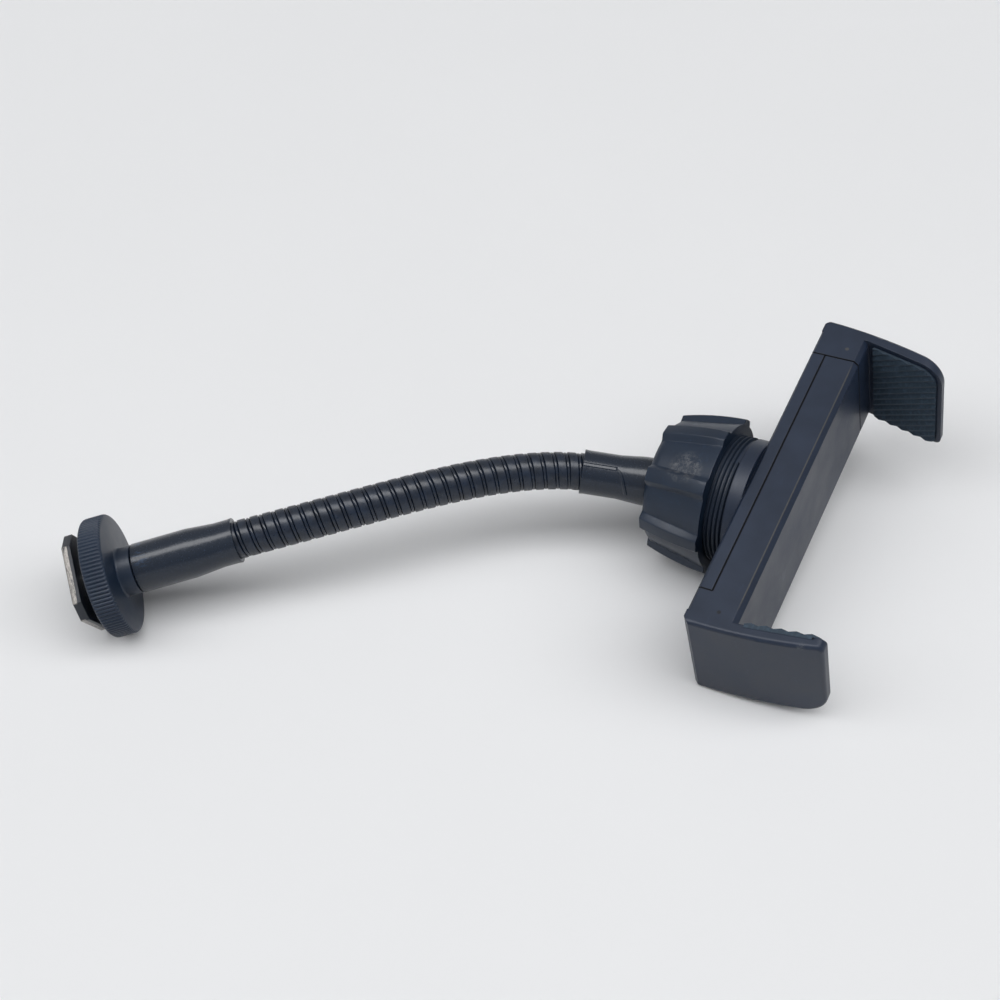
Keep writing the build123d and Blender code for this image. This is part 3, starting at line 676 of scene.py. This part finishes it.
def pad_rubber():
    """Matt rubber with a dusty bloom."""
    colour = tuple(colours().rubber)
    finish = Finish("pad_finish", colour, roughness=0.7)
    finish.constant("Specular IOR Level", 0.25)
    dust = finish.noise(per_mm=1.3, detail=5, rough=0.65)
    finish.colour(finish.tint(finish.spread(dust, 0.45, 0.8), colour, lighter(colour, 2.0)))
    finish.roughness(finish.spread(dust, 0.3, 0.8, 0.62, 0.8))
    finish.bump(finish.noise(per_mm=6.0, detail=2), depth_mm=0.012, strength=0.5)
    return finish.material


def plated_steel():
    """Plated steel with fine drawn lines."""
    colour = tuple(colours().steel)
    finish = Finish("steel_finish", colour, roughness=0.3)
    finish.constant("Metallic", 1.0)
    lines = finish.noise(per_mm=2.5, detail=3, rough=0.6, where=finish.stretched((1, 1, 0.08)))
    finish.colour(finish.tint(lines, lighter(colour, 0.8), lighter(colour, 1.15)))
    finish.roughness(finish.spread(lines, 0.3, 0.7, 0.22, 0.4))
    return finish.material


def shared(name, maker, *arguments):
    """A material made once and used by several pieces."""
    return bpy.data.materials.get(name) or maker(*arguments)


def steel():
    return shared("steel_finish", plated_steel)


# Base pieces

class HOLDER_OT_foot(Operator):
    """Shoe foot: square plate with clipped corners and a worn rim, on its stud"""
    bl_idname = "holder.foot"
    bl_label = "Shoe foot"

    def execute(self, context):
        size = sizes()
        half, clip, thick, edge = size.foot_side / 2, size.foot_clip, size.foot_thick, size.foot_edge
        corners = [(half, half - clip), (half - clip, half), (clip - half, half), (-half, half - clip),
                   (-half, clip - half), (clip - half, -half), (half - clip, -half), (half, clip - half)]
        profile = outline([(0, 0, 0), (half, 0, edge), (half, thick, edge / 2), (0, thick, 0)])[1:-1]
        rows = [[Vector((x * reach / half, y * reach / half, height)) for x, y in corners]
                for reach, height in profile]
        plate = add_mesh("foot_plate", *rows_to_mesh(rows, cap=True), smooth_angle=30)
        turn = Matrix.Rotation(size.foot_roll, 4, "Z")
        place(plate, base_frame() @ turn, "base", worn_paint(), "foot_metal", "shoe_foot")
        dress_node("shoe_stud", steel())
        return {"FINISHED"}


class HOLDER_OT_wheel(Operator):
    """Locking wheel: knurled rim with rounded shoulders and a smooth boss"""
    bl_idname = "holder.wheel"
    bl_label = "Locking wheel"

    POINTS_PER_KNURL = 8
    # How far under the rim the grooves start, in groove depths
    GROOVED_DEPTHS = 1.3
    GROOVE_POWER = 2.4
    BOSS_ROOT = 0.5 * MM
    BOSS_EDGE = 0.15 * MM

    def execute(self, context):
        size = sizes()
        low, high = size.wheel_face - size.wheel_width, size.wheel_face
        radius, bend, top = size.wheel_radius, size.wheel_round, high + size.boss_length
        corners = [(size.stud_bore, low, 0), (radius, low, bend), (radius, high, bend),
                   (size.boss_radius, high, self.BOSS_ROOT), (size.boss_radius, top, self.BOSS_EDGE),
                   (size.stud_bore, top, 0)]
        rows = [self.knurled_ring(r, h) for r, h in outline(corners)]
        wheel = add_mesh("knurled_wheel", *rows_to_mesh(rows, loop_rows=True), smooth_angle=50)
        plastic = moulded_plastic("wheel_finish", tuple(colours().wheel), roughness=0.40, scuff=0.2,
                                  grain_mm=0.012)
        place(wheel, base_frame(), "wheel", plastic, "wheel_plastic", "locking_wheel")
        return {"FINISHED"}

    def knurled_ring(self, radius, height):
        """Ring of points, grooved as deep as it reaches into the knurled rim."""
        size = sizes()
        knurled = size.wheel_radius - size.knurl_depth * self.GROOVED_DEPTHS
        cut = max(0.0, radius - knurled) / (size.wheel_radius - knurled) * size.knurl_depth
        row = ring(1.0, height, size.knurl_count * self.POINTS_PER_KNURL)
        for i, point in enumerate(row):
            wave = 0.5 - 0.5 * math.cos(math.tau * i / self.POINTS_PER_KNURL)
            point.xy *= radius - cut * wave ** self.GROOVE_POWER
        return row


class HOLDER_OT_sleeves(Operator):
    """Sleeves: glossy tubes shrunk over both ends of the gooseneck"""
    bl_idname = "holder.sleeves"
    bl_label = "Sleeves"

    LIP = 0.9 * MM
    CUT_EDGE = 0.12 * MM
    SHRUNK = 10 * MM
    CREASE = 3 * MM

    def execute(self, context):
        self.base_sleeve()
        self.head_sleeve()
        dress_node("base_ferrule", steel())
        return {"FINISHED"}

    def base_sleeve(self):
        size = sizes()
        sleeve = lathe("base_sleeve_skin", [
            (size.ferrule_radius, size.sleeve_start, 0),
            (size.sleeve_wide, size.sleeve_start, self.CUT_EDGE),
            (size.sleeve_wide, size.ferrule_end, self.SHRUNK),
            (size.sleeve_narrow, size.taper_end, self.SHRUNK),
            (size.sleeve_narrow, size.sleeve_end - self.LIP, self.CREASE),
            (size.sleeve_lip, size.sleeve_end, self.CUT_EDGE),
            (size.sleeve_bore, size.sleeve_end, 0),
            (size.sleeve_bore, size.taper_end, 0),
            (size.ferrule_radius, size.ferrule_end, 0)])
        place(sleeve, base_frame(), "base", base_vinyl(), "sleeve_vinyl", "base_sleeve")

    def head_sleeve(self):
        size = sizes()
        sleeve = lathe("head_sleeve_skin", [
            (size.sleeve_bore, size.head_start, 0),
            (size.sleeve_lip, size.head_start, self.CUT_EDGE),
            (size.sleeve_narrow, size.head_start + self.LIP, self.CREASE),
            (size.sleeve_narrow, size.head_crease, self.CREASE),
            (size.sleeve_wide, size.head_flare, self.SHRUNK),
            (size.sleeve_wide, size.head_end, self.CUT_EDGE),
            (size.ferrule_radius, size.head_end, 0),
            (size.ferrule_radius, size.head_flare, 0),
            (size.sleeve_bore, size.head_crease, 0)])
        place(sleeve, head_frame(), "head", head_vinyl(), "sleeve_vinyl", "head_sleeve")


# Gooseneck

def bezier(a, b, c, t):
    """Point at share t of a curve from a to c that leans to b."""
    return a * (1 - t) ** 2 + b * 2 * t * (1 - t) + c * t * t


def neck_spans():
    """For each pivot, start, pivot and end of the centre line from half a section before to half after."""
    pivots = [joint_point(name) for name in NECK_JOINTS]
    reach = (pivots[1] - pivots[0]).length / 2
    before = pivots[0] - joint_axis("wheel_turn") * reach
    spans = []
    for i, pivot in enumerate(pivots):
        ahead = pivots[i + 1] - pivot if i + 1 < len(pivots) else joint_axis("ball_swivel")
        after = pivot + ahead.normalized() * reach
        spans.append((before, pivot, after))
        before = after
    return spans


def wound_wire(frames, turns, section):
    """Points and faces of a wire wound round a line; section holds (radius, offset along the line)."""
    rows = []
    for (middle, way, side, other), turn in zip(frames, turns):
        out = side * math.cos(turn * math.tau) + other * math.sin(turn * math.tau)
        rows.append([middle + out * radius + way * offset for radius, offset in section])
    return rows_to_mesh(rows, cap=True)


def band_section(radius, width, depth, bend):
    """Section of a flat wire with rounded edges, as closed (radius, offset) points."""
    half, back = width / 2, radius - depth
    return outline([(back, -half, 0), (radius, -half, bend), (radius, half, bend), (back, half, 0)])


class HOLDER_OT_neck(Operator):
    """Gooseneck: a wide wire and a thin wedge wire wound together, bending from section to section"""
    bl_idname = "holder.neck"
    bl_label = "Gooseneck"

    STEPS_PER_TURN = 48
    WIDE_DEPTH = 0.9 * MM
    WEDGE_DEPTH = 0.7 * MM
    # Rounding of the wedge wire as a share of its width, and its turns behind the wide wire
    WEDGE_ROUND = 0.46
    WEDGE_LAG = 0.5

    def execute(self, context):
        size = sizes()
        coat = coated_wire("band_coat", roughness=0.30)
        shiny = coated_wire("wedge_coat", roughness=0.18)
        wide = band_section(size.neck_radius, size.turn_width, self.WIDE_DEPTH, size.turn_edge)
        wedge = band_section(size.neck_radius - size.wedge_sink, size.wedge_width, self.WEDGE_DEPTH,
                             size.wedge_width * self.WEDGE_ROUND)
        spans = neck_spans()
        steps = self.STEPS_PER_TURN * size.section_turns
        line = [bezier(*span, i / steps) for span in spans for i in range(steps)] + [spans[-1][2]]
        frames = carried_frames(line)
        for index in range(len(spans)):
            first = index * steps
            part = frames[first:first + steps + 1]
            turns = [(first + i) / self.STEPS_PER_TURN for i in range(steps + 1)]
            winding = self.span(f"neck_winding_{index + 1}", index, part, turns, wide, coat)
            later = [turn + self.WEDGE_LAG for turn in turns]
            self.span(f"neck_wedge_{index + 1}", index, part, later, wedge, shiny)
            if index:
                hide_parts(f"neck_section_{index}")
        for end in ("neck_base_end", "neck_head_end"):
            dress_node(end, coat)
        return {"FINISHED"}

    def span(self, name, index, part, turns, section, material):
        """One wire from mid-section to mid-section, curving over the pivot between."""
        wire = add_mesh(name, *wound_wire(part, turns, section))
        wire.data.materials.append(material)
        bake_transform(wire)
        return wire


# Ball joint

class HOLDER_OT_ball(Operator):
    """Ball and stem inside the nut"""
    bl_idname = "holder.ball"
    bl_label = "Ball and stem"

    def execute(self, context):
        dress_node("ball_stem", steel())
        plastic = moulded_plastic("ball_finish", tuple(colours().nut), roughness=0.35, scuff=0.5,
                                  grain_mm=0.01)
        dress_node("socket_ball", plastic)
        return {"FINISHED"}


class HOLDER_OT_nut(Operator):
    """Ribbed nut that tightens the ball joint"""
    bl_idname = "holder.nut"
    bl_label = "Ribbed nut"

    EDGE = 0.25 * MM
    VALLEY_STEPS = 5
    RIB_ROWS = 16
    # Share of a rib's height that is rounded at its top and at its foot
    RIB_SHOULDER = 0.12
    RIB_DROP = 0.03 * MM
    # Length over which the mouth widens to the bore, in lengths of its straight part
    MOUTH_WIDENING = 2
    SCUFFS = [((13.9 * MM, 5.0 * MM, -12.9 * MM), 4.2 * MM)]

    def execute(self, context):
        size = sizes()
        front, rear, end = -size.nut_front, -size.nut_rear, size.rib_end - size.nut_rear
        inside = rear + size.nut_mouth_length
        heights = [front + (end - front) * i / self.RIB_ROWS for i in range(self.RIB_ROWS + 1)]
        rows = [self.ribbed_ring(self.valley(h), self.crest(h), h) for h in heights]
        widened = inside + size.nut_mouth_length * self.MOUTH_WIDENING
        plain = [(self.valley(h), h) for h in (end - self.RIB_DROP, (end + rear) / 2, rear)]
        plain += [(size.nut_mouth, rear), (size.nut_mouth, inside), (size.nut_bore, widened),
                  (size.nut_bore, front)]
        rows += [self.ribbed_ring(radius, radius, h) for radius, h in plain]
        nut = add_mesh("ribbed_nut", *rows_to_mesh(rows, loop_rows=True), smooth_angle=30)
        plastic = moulded_plastic("nut_finish", tuple(colours().nut), roughness=0.36, scuff=0.5,
                                  grain_mm=0.012, scuffs=self.SCUFFS)
        place(nut, socket_frame(), "nut", plastic, "nut_plastic", "clamp_nut")
        return {"FINISHED"}

    def share(self, height):
        """0 at the nut's rim, 1 at its rear."""
        return (height + sizes().nut_front) / (sizes().nut_front - sizes().nut_rear)

    def slope(self, height):
        """Radius of the nut's cone at a height."""
        size = sizes()
        return size.nut_front_radius + (size.nut_rear_radius - size.nut_front_radius) * self.share(height)

    def valley(self, height):
        """Radius between the ribs at a height, rounded off at the rear."""
        bend = sizes().nut_rear_round
        under = max(0.0, bend - (height + sizes().nut_rear))
        return self.slope(height) - bend + math.sqrt(max(0.0, bend * bend - under * under))

    def crest(self, height):
        """Radius over the ribs at a height, bowed along their length."""
        off_middle = 2 * self.share(height) - 1
        return self.slope(height) + sizes().rib_height - sizes().rib_bow * off_middle ** 2

    def ribbed_ring(self, valley, crest, height):
        """Ring of points over the ribs and valleys at one height."""
        size = sizes()
        half_sector = math.pi / size.rib_count
        edge = self.EDGE / 2
        across = [(0, 1), (size.rib_top / 2, 1), (size.rib_top - edge, 1),
                  (size.rib_top + edge, 1 - self.RIB_SHOULDER),
                  (size.rib_foot - edge, self.RIB_SHOULDER), (size.rib_foot + edge, 0)]
        marks = [(offset / crest, valley + (crest - valley) * share) for offset, share in across]
        last = marks[-1][0]
        for i in range(1, self.VALLEY_STEPS + 1):
            marks.append((last + (half_sector - last) * i / self.VALLEY_STEPS, valley))
        around = [(-a, r) for a, r in marks[-2:0:-1]] + marks
        row = []
        for rib in range(size.rib_count):
            for turn, radius in around:
                a = size.rib_phase + rib * 2 * half_sector + turn
                row.append(Vector((radius * math.cos(a), radius * math.sin(a), height)))
        return row


class HOLDER_OT_thread(Operator):
    """Thread of the socket, where it shows between the nut and its base disc"""
    bl_idname = "holder.thread"
    bl_label = "Socket thread"

    STEPS_PER_TURN = 96
    ROOT_SINK = 0.2 * MM
    # Half the width of the thread at its root and its crest, as shares of the pitch
    ROOT_SHARE = 0.46
    CREST_SHARE = 0.12

    def execute(self, context):
        size = sizes()
        start, end = -size.disc_thick - size.thread_pitch / 2, -size.nut_front - size.thread_pitch
        root, crest = size.barrel_radius - self.ROOT_SINK, size.barrel_radius + size.thread_height
        wide, flat = size.thread_pitch * self.ROOT_SHARE, size.thread_pitch * self.CREST_SHARE
        section = [(root, -wide), (crest, -flat), (crest, flat), (root, wide)]
        steps = round((start - end) / size.thread_pitch * self.STEPS_PER_TURN)
        line = [Vector((0, 0, start + (end - start) * i / steps)) for i in range(steps + 1)]
        frames = [(point, Vector((0, 0, 1)), Vector((1, 0, 0)), Vector((0, 1, 0))) for point in line]
        turns = [i / self.STEPS_PER_TURN for i in range(steps + 1)]
        thread = add_mesh("socket_thread", *wound_wire(frames, turns, section))
        # A darker copy of the nut plastic: painted shade on the thread, which lies recessed between the nut
        # and its base disc
        shaded = lighter(tuple(colours().nut), 0.7)
        plastic = moulded_plastic("thread_finish", shaded, roughness=0.66, scuff=0.2, grain_mm=0.01)
        place(thread, socket_frame(), "clamp", plastic, "clamp_plastic")
        return {"FINISHED"}


# Clamp

class HOLDER_OT_clamp(Operator):
    """Clamp body, back cover, sliding jaw and rubber pads"""
    bl_idname = "holder.clamp"
    bl_label = "Clamp"

    def execute(self, context):
        for node in ("clamp_body", "sliding_jaw", "back_cover"):
            dress_node(node, shared("clamp_finish", clamp_shade))
        for node in ("lower_jaw_pad", "upper_jaw_pad"):
            dress_node(node, shared("pad_finish", pad_rubber))
        return {"FINISHED"}


class HOLDER_OT_springs(Operator):
    """Pull springs of the sliding jaw and the pins they hang on"""
    bl_idname = "holder.springs"
    bl_label = "Jaw springs"

    STEPS_PER_TURN = 12
    LOOP_STEPS = 20
    FIRST_TURN = 0.25

    def execute(self, context):
        for node in ("jaw_spring_left", "jaw_spring_right"):
            self.spring(node)
        for node in ("spring_pin_upper", "spring_pin_lower"):
            dress_node(node, steel())
        return {"FINISHED"}

    def spring(self, node):
        """One close-wound spring between its two end loops, in the place of its solid."""
        size = sizes()
        clamp = clamp_frame()
        inward = clamp.inverted()
        middle = inward @ node_middle(node)
        low, high = ((inward @ node_middle(f"spring_pin_{end}")).y for end in ("lower", "upper"))
        loop = (size.spring_loop - size.spring_wire) / 2
        wind = (size.spring_width - size.spring_wire) / 2
        start, end = low + loop, high - loop
        steps = round((end - start) / size.spring_wire) * self.STEPS_PER_TURN
        coil = []
        for i in range(steps + 1):
            a = math.tau * (i / self.STEPS_PER_TURN + self.FIRST_TURN)
            coil.append(clamp @ Vector((middle.x + wind * math.cos(a), start + (end - start) * i / steps,
                                        middle.z + wind * math.sin(a))))
        skins = [tube(coil, size.spring_wire / 2)]
        for height in (low, high):
            turns = [math.tau * i / self.LOOP_STEPS for i in range(self.LOOP_STEPS + 1)]
            eye = [clamp @ Vector((middle.x + loop * math.cos(a), height + loop * math.sin(a), middle.z))
                   for a in turns]
            skins.append(tube(eye, size.spring_wire / 2))
        spring = add_mesh(f"{node}_wire", *joined(*skins))
        spring.data.materials.append(steel())
        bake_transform(spring)
        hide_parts(node)


class HOLDER_OT_screws(Operator):
    """Screws of the back cover, with cross recesses"""
    bl_idname = "holder.screws"
    bl_label = "Cover screws"

    RECESS_HALF = 0.2 * MM
    RECESS_REACH = 0.8 * MM
    RECESS_DEPTH = 0.45 * MM
    QUARTER_STEPS = 8
    POINTS_PER_ARM = 8

    def execute(self, context):
        size = sizes()
        upright = Matrix.Rotation(math.radians(90), 4, "Y")
        skins = []
        for along in (size.screw_upper, size.screw_lower):
            for across in (size.screw_across, -size.screw_across):
                at = Matrix.Translation((size.screw_sink, along, across)) @ upright
                points, faces = self.screw()
                skins.append(([at @ point for point in points], faces))
        screws = add_mesh("cover_screw_set", *joined(*skins), smooth_angle=30)
        place(screws, clamp_frame(), "clamp", steel(), "steel", "cover_screws")
        return {"FINISHED"}

    def screw(self):
        """Points and faces of one screw along z: head with a cross recess, then the shank."""
        size = sizes()
        shell = [(size.screw_head_radius, 0), (size.screw_head_radius, size.screw_head_height),
                 (size.screw_radius, size.screw_head_height), (size.screw_radius, size.screw_length)]
        rows = [ring(radius, height, self.QUARTER_STEPS * 4) for radius, height in shell]
        body_points, body_faces = rows_to_mesh(rows, cap=True)
        return joined((body_points, body_faces[:-2] + body_faces[-1:]), self.recessed_top())

    def recessed_top(self):
        """The head's face with its cross recess."""
        half, reach, depth = self.RECESS_HALF, self.RECESS_REACH, self.RECESS_DEPTH
        rim = ring(sizes().screw_head_radius, 0, self.QUARTER_STEPS * 4)
        points, faces = list(rim), []
        for quarter in range(4):
            turn = Matrix.Rotation(math.radians(90) * quarter, 3, "Z")
            arm = [Vector((reach, -half, 0)), Vector((reach, half, 0)), Vector((half, half, 0))]
            start = len(points)
            points += [turn @ point for point in arm]
            points += [turn @ point + Vector((0, 0, depth)) for point in arm]
            points += [turn @ Vector((half, -half, 0)), turn @ Vector((half, -half, depth))]
            first = quarter * self.QUARTER_STEPS
            arc = [(first + i) % len(rim) for i in range(self.QUARTER_STEPS + 1)]
            following = len(rim) + (quarter + 1) % 4 * self.POINTS_PER_ARM
            faces.append((start + 1, start + 2, following) + tuple(reversed(arc)))
            faces.append((start, start + 1, arc[0]))
            walls = ((0, 3, 4, 1), (1, 4, 5, 2), (6, 7, 3, 0), (7, 5, 4, 3))
            faces += [tuple(start + corner for corner in wall) for wall in walls]
        faces.append(tuple(len(rim) + quarter * self.POINTS_PER_ARM + 5 for quarter in range(4)))
        return points, faces


# Stage

class HOLDER_OT_stage(Operator):
    """Pale table, soft studio light and the camera"""
    bl_idname = "holder.stage"
    bl_label = "Stage"

    TABLE_HALF = 3.0
    TABLE_GAP = 0.2 * MM
    TABLE_MOTTLE = 0.015
    LAMP_PLACE = (-0.30, -1.40, 4.5)
    LAMP_SIZE = (16.0, 3.6)
    LAMP_POWER = 496.0
    SHEEN_PLACE = (-0.25, -0.06, 1.5)
    SHEEN_SIZE = (2.2, 0.62)
    SHEEN_POWER = 20.4
    # Strengths of room and backdrop, away from the bright side and towards it
    BRIGHT_SIDE = (-0.30, 0.0, 0.95)
    BRIGHTEST = 0.9
    ROOM_COLOUR = (0.97, 0.98, 1.0)
    ROOM = (0.02, 0.10)
    ROOM_START = -0.1
    BACKDROP = (0.18, 0.62)
    BACKDROP_START = -0.5
    HORIZON = 0.82
    HORIZON_BAND = (0.12, 0.26)
    CAMERA_PLACE = (-0.004205, -0.235432, 0.27599)
    CAMERA_RIGHT = (0.9992, -0.0304, -0.0261)
    CAMERA_UP = (0.04003, 0.72677, 0.68571)
    CAMERA_LENS = 60.5
    CAMERA_SENSOR = 36
    CAMERA_NEAREST = 0.01

    def execute(self, context):
        self.add_table()
        overhead = self.add_lamp("overhead", self.LAMP_PLACE, self.LAMP_SIZE, self.LAMP_POWER)
        overhead.visible_glossy = False
        sheen = self.add_lamp("sheen", self.SHEEN_PLACE, self.SHEEN_SIZE, self.SHEEN_POWER)
        sheen.visible_diffuse = False
        self.add_room()
        self.add_camera()
        context.scene.view_settings.view_transform = "Standard"
        return {"FINISHED"}

    def add_table(self):
        half, top = self.TABLE_HALF, tuple(colours().table)
        corners = [(-half, -half, 0), (half, -half, 0), (half, half, 0), (-half, half, 0)]
        table = add_mesh("table_top", corners, [(0, 1, 2, 3)])
        finish = Finish("table_top", top, roughness=0.6)
        finish.constant("Specular IOR Level", 0.2)
        darker, paler = lighter(top, 1 - self.TABLE_MOTTLE), lighter(top, 1 + self.TABLE_MOTTLE)
        finish.colour(finish.tint(finish.noise(per_mm=0.01, detail=3), darker, paler))
        table.data.materials.append(finish.material)
        table.location.z = -self.TABLE_GAP

    def add_lamp(self, name, middle, size, power):
        """Flat lamp that looks straight down."""
        lamp = bpy.data.lights.new(name, "AREA")
        lamp.shape = "RECTANGLE"
        lamp.size, lamp.size_y = size
        lamp.energy = power
        light = bpy.data.objects.new(name, lamp)
        light.location = middle
        bpy.context.scene.collection.objects.link(light)
        return light

    def add_room(self):
        """Room light, brighter above and to the left; eye and gloss see the backdrop instead."""
        world = bpy.data.worlds.new("soft_room")
        world.use_nodes = True
        tree = world.node_tree
        sky = tree.nodes["Background"]
        sky.inputs["Color"].default_value = (*self.ROOM_COLOUR, 1)
        way = tree.nodes.new("ShaderNodeTexCoord").outputs["Generated"]
        lean = tree.nodes.new("ShaderNodeVectorMath")
        lean.operation = "DOT_PRODUCT"
        lean.inputs[1].default_value = self.BRIGHT_SIDE
        tree.links.new(way, lean.inputs[0])
        lit = lean.outputs["Value"]
        room = self.remapped(tree, lit, self.ROOM_START, self.BRIGHTEST, *self.ROOM)
        backdrop = self.remapped(tree, lit, self.BACKDROP_START, self.BRIGHTEST, *self.BACKDROP)
        seen = tree.nodes.new("ShaderNodeMix")
        tree.links.new(self.seen_rays(tree), seen.inputs["Factor"])
        tree.links.new(room, seen.inputs["A"])
        tree.links.new(self.with_horizon(tree, way, backdrop), seen.inputs["B"])
        tree.links.new(seen.outputs["Result"], sky.inputs["Strength"])
        bpy.context.scene.world = world

    def remapped(self, tree, value, low, high, to_low, to_high):
        """Value remapped from one range to another, clamped."""
        node = tree.nodes.new("ShaderNodeMapRange")
        for socket, number in zip(node.inputs[1:5], (low, high, to_low, to_high)):
            socket.default_value = number
        tree.links.new(value, node.inputs["Value"])
        return node.outputs["Result"]

    def with_horizon(self, tree, way, backdrop):
        """The backdrop, palest at the horizon and below it."""
        height = tree.nodes.new("ShaderNodeSeparateXYZ")
        tree.links.new(way, height.inputs["Vector"])
        mixed = tree.nodes.new("ShaderNodeMix")
        band = self.remapped(tree, height.outputs["Z"], *self.HORIZON_BAND, 1, 0)
        tree.links.new(band, mixed.inputs["Factor"])
        tree.links.new(backdrop, mixed.inputs["A"])
        mixed.inputs["B"].default_value = self.HORIZON
        return mixed.outputs["Result"]

    def seen_rays(self, tree):
        """1 for the rays of the eye and those seen in gloss or through clear things."""
        path = tree.nodes.new("ShaderNodeLightPath")
        either = path.outputs["Is Camera Ray"]
        for kind in ("Is Glossy Ray", "Is Transmission Ray"):
            larger = tree.nodes.new("ShaderNodeMath")
            larger.operation = "MAXIMUM"
            tree.links.new(either, larger.inputs[0])
            tree.links.new(path.outputs[kind], larger.inputs[1])
            either = larger.outputs["Value"]
        return either

    def add_camera(self):
        camera = bpy.data.cameras.new("camera")
        camera.lens = self.CAMERA_LENS
        camera.sensor_width = self.CAMERA_SENSOR
        camera.clip_start = self.CAMERA_NEAREST
        eye = bpy.data.objects.new("camera", camera)
        right, up = Vector(self.CAMERA_RIGHT), Vector(self.CAMERA_UP)
        eye.matrix_world = matrix_of(Vector(self.CAMERA_PLACE), right, up, right.cross(up))
        bpy.context.scene.collection.objects.link(eye)
        bpy.context.scene.camera = eye


STEPS = (HOLDER_OT_foot, HOLDER_OT_wheel, HOLDER_OT_sleeves, HOLDER_OT_neck, HOLDER_OT_ball, HOLDER_OT_nut,
         HOLDER_OT_thread, HOLDER_OT_clamp, HOLDER_OT_springs, HOLDER_OT_screws, HOLDER_OT_stage)


class VIEW3D_PT_holder(Panel):
    """Sidebar panel with one button for each piece"""
    bl_label = "Phone holder"
    bl_space_type = "VIEW_3D"
    bl_region_type = "UI"
    bl_category = "Holder"

    def draw(self, context):
        for step in STEPS:
            self.layout.operator(step.bl_idname)
        for group in (context.scene.holder_sizes, context.scene.holder_colours):
            box = self.layout.box()
            for key in group.__annotations__:
                box.prop(group, key)


CLASSES = (HolderSizes, HolderColours, *STEPS, VIEW3D_PT_holder)


def register():
    for item in CLASSES:
        bpy.utils.register_class(item)
    bpy.types.Scene.holder_sizes = PointerProperty(type=HolderSizes)
    bpy.types.Scene.holder_colours = PointerProperty(type=HolderColours)


def unregister():
    del bpy.types.Scene.holder_colours
    del bpy.types.Scene.holder_sizes
    for item in reversed(CLASSES):
        bpy.utils.unregister_class(item)


def main():
    register()
    for step in STEPS:
        group, name = step.bl_idname.split(".")
        getattr(getattr(bpy.ops, group), name)()


if __name__ == "__main__":
    main()
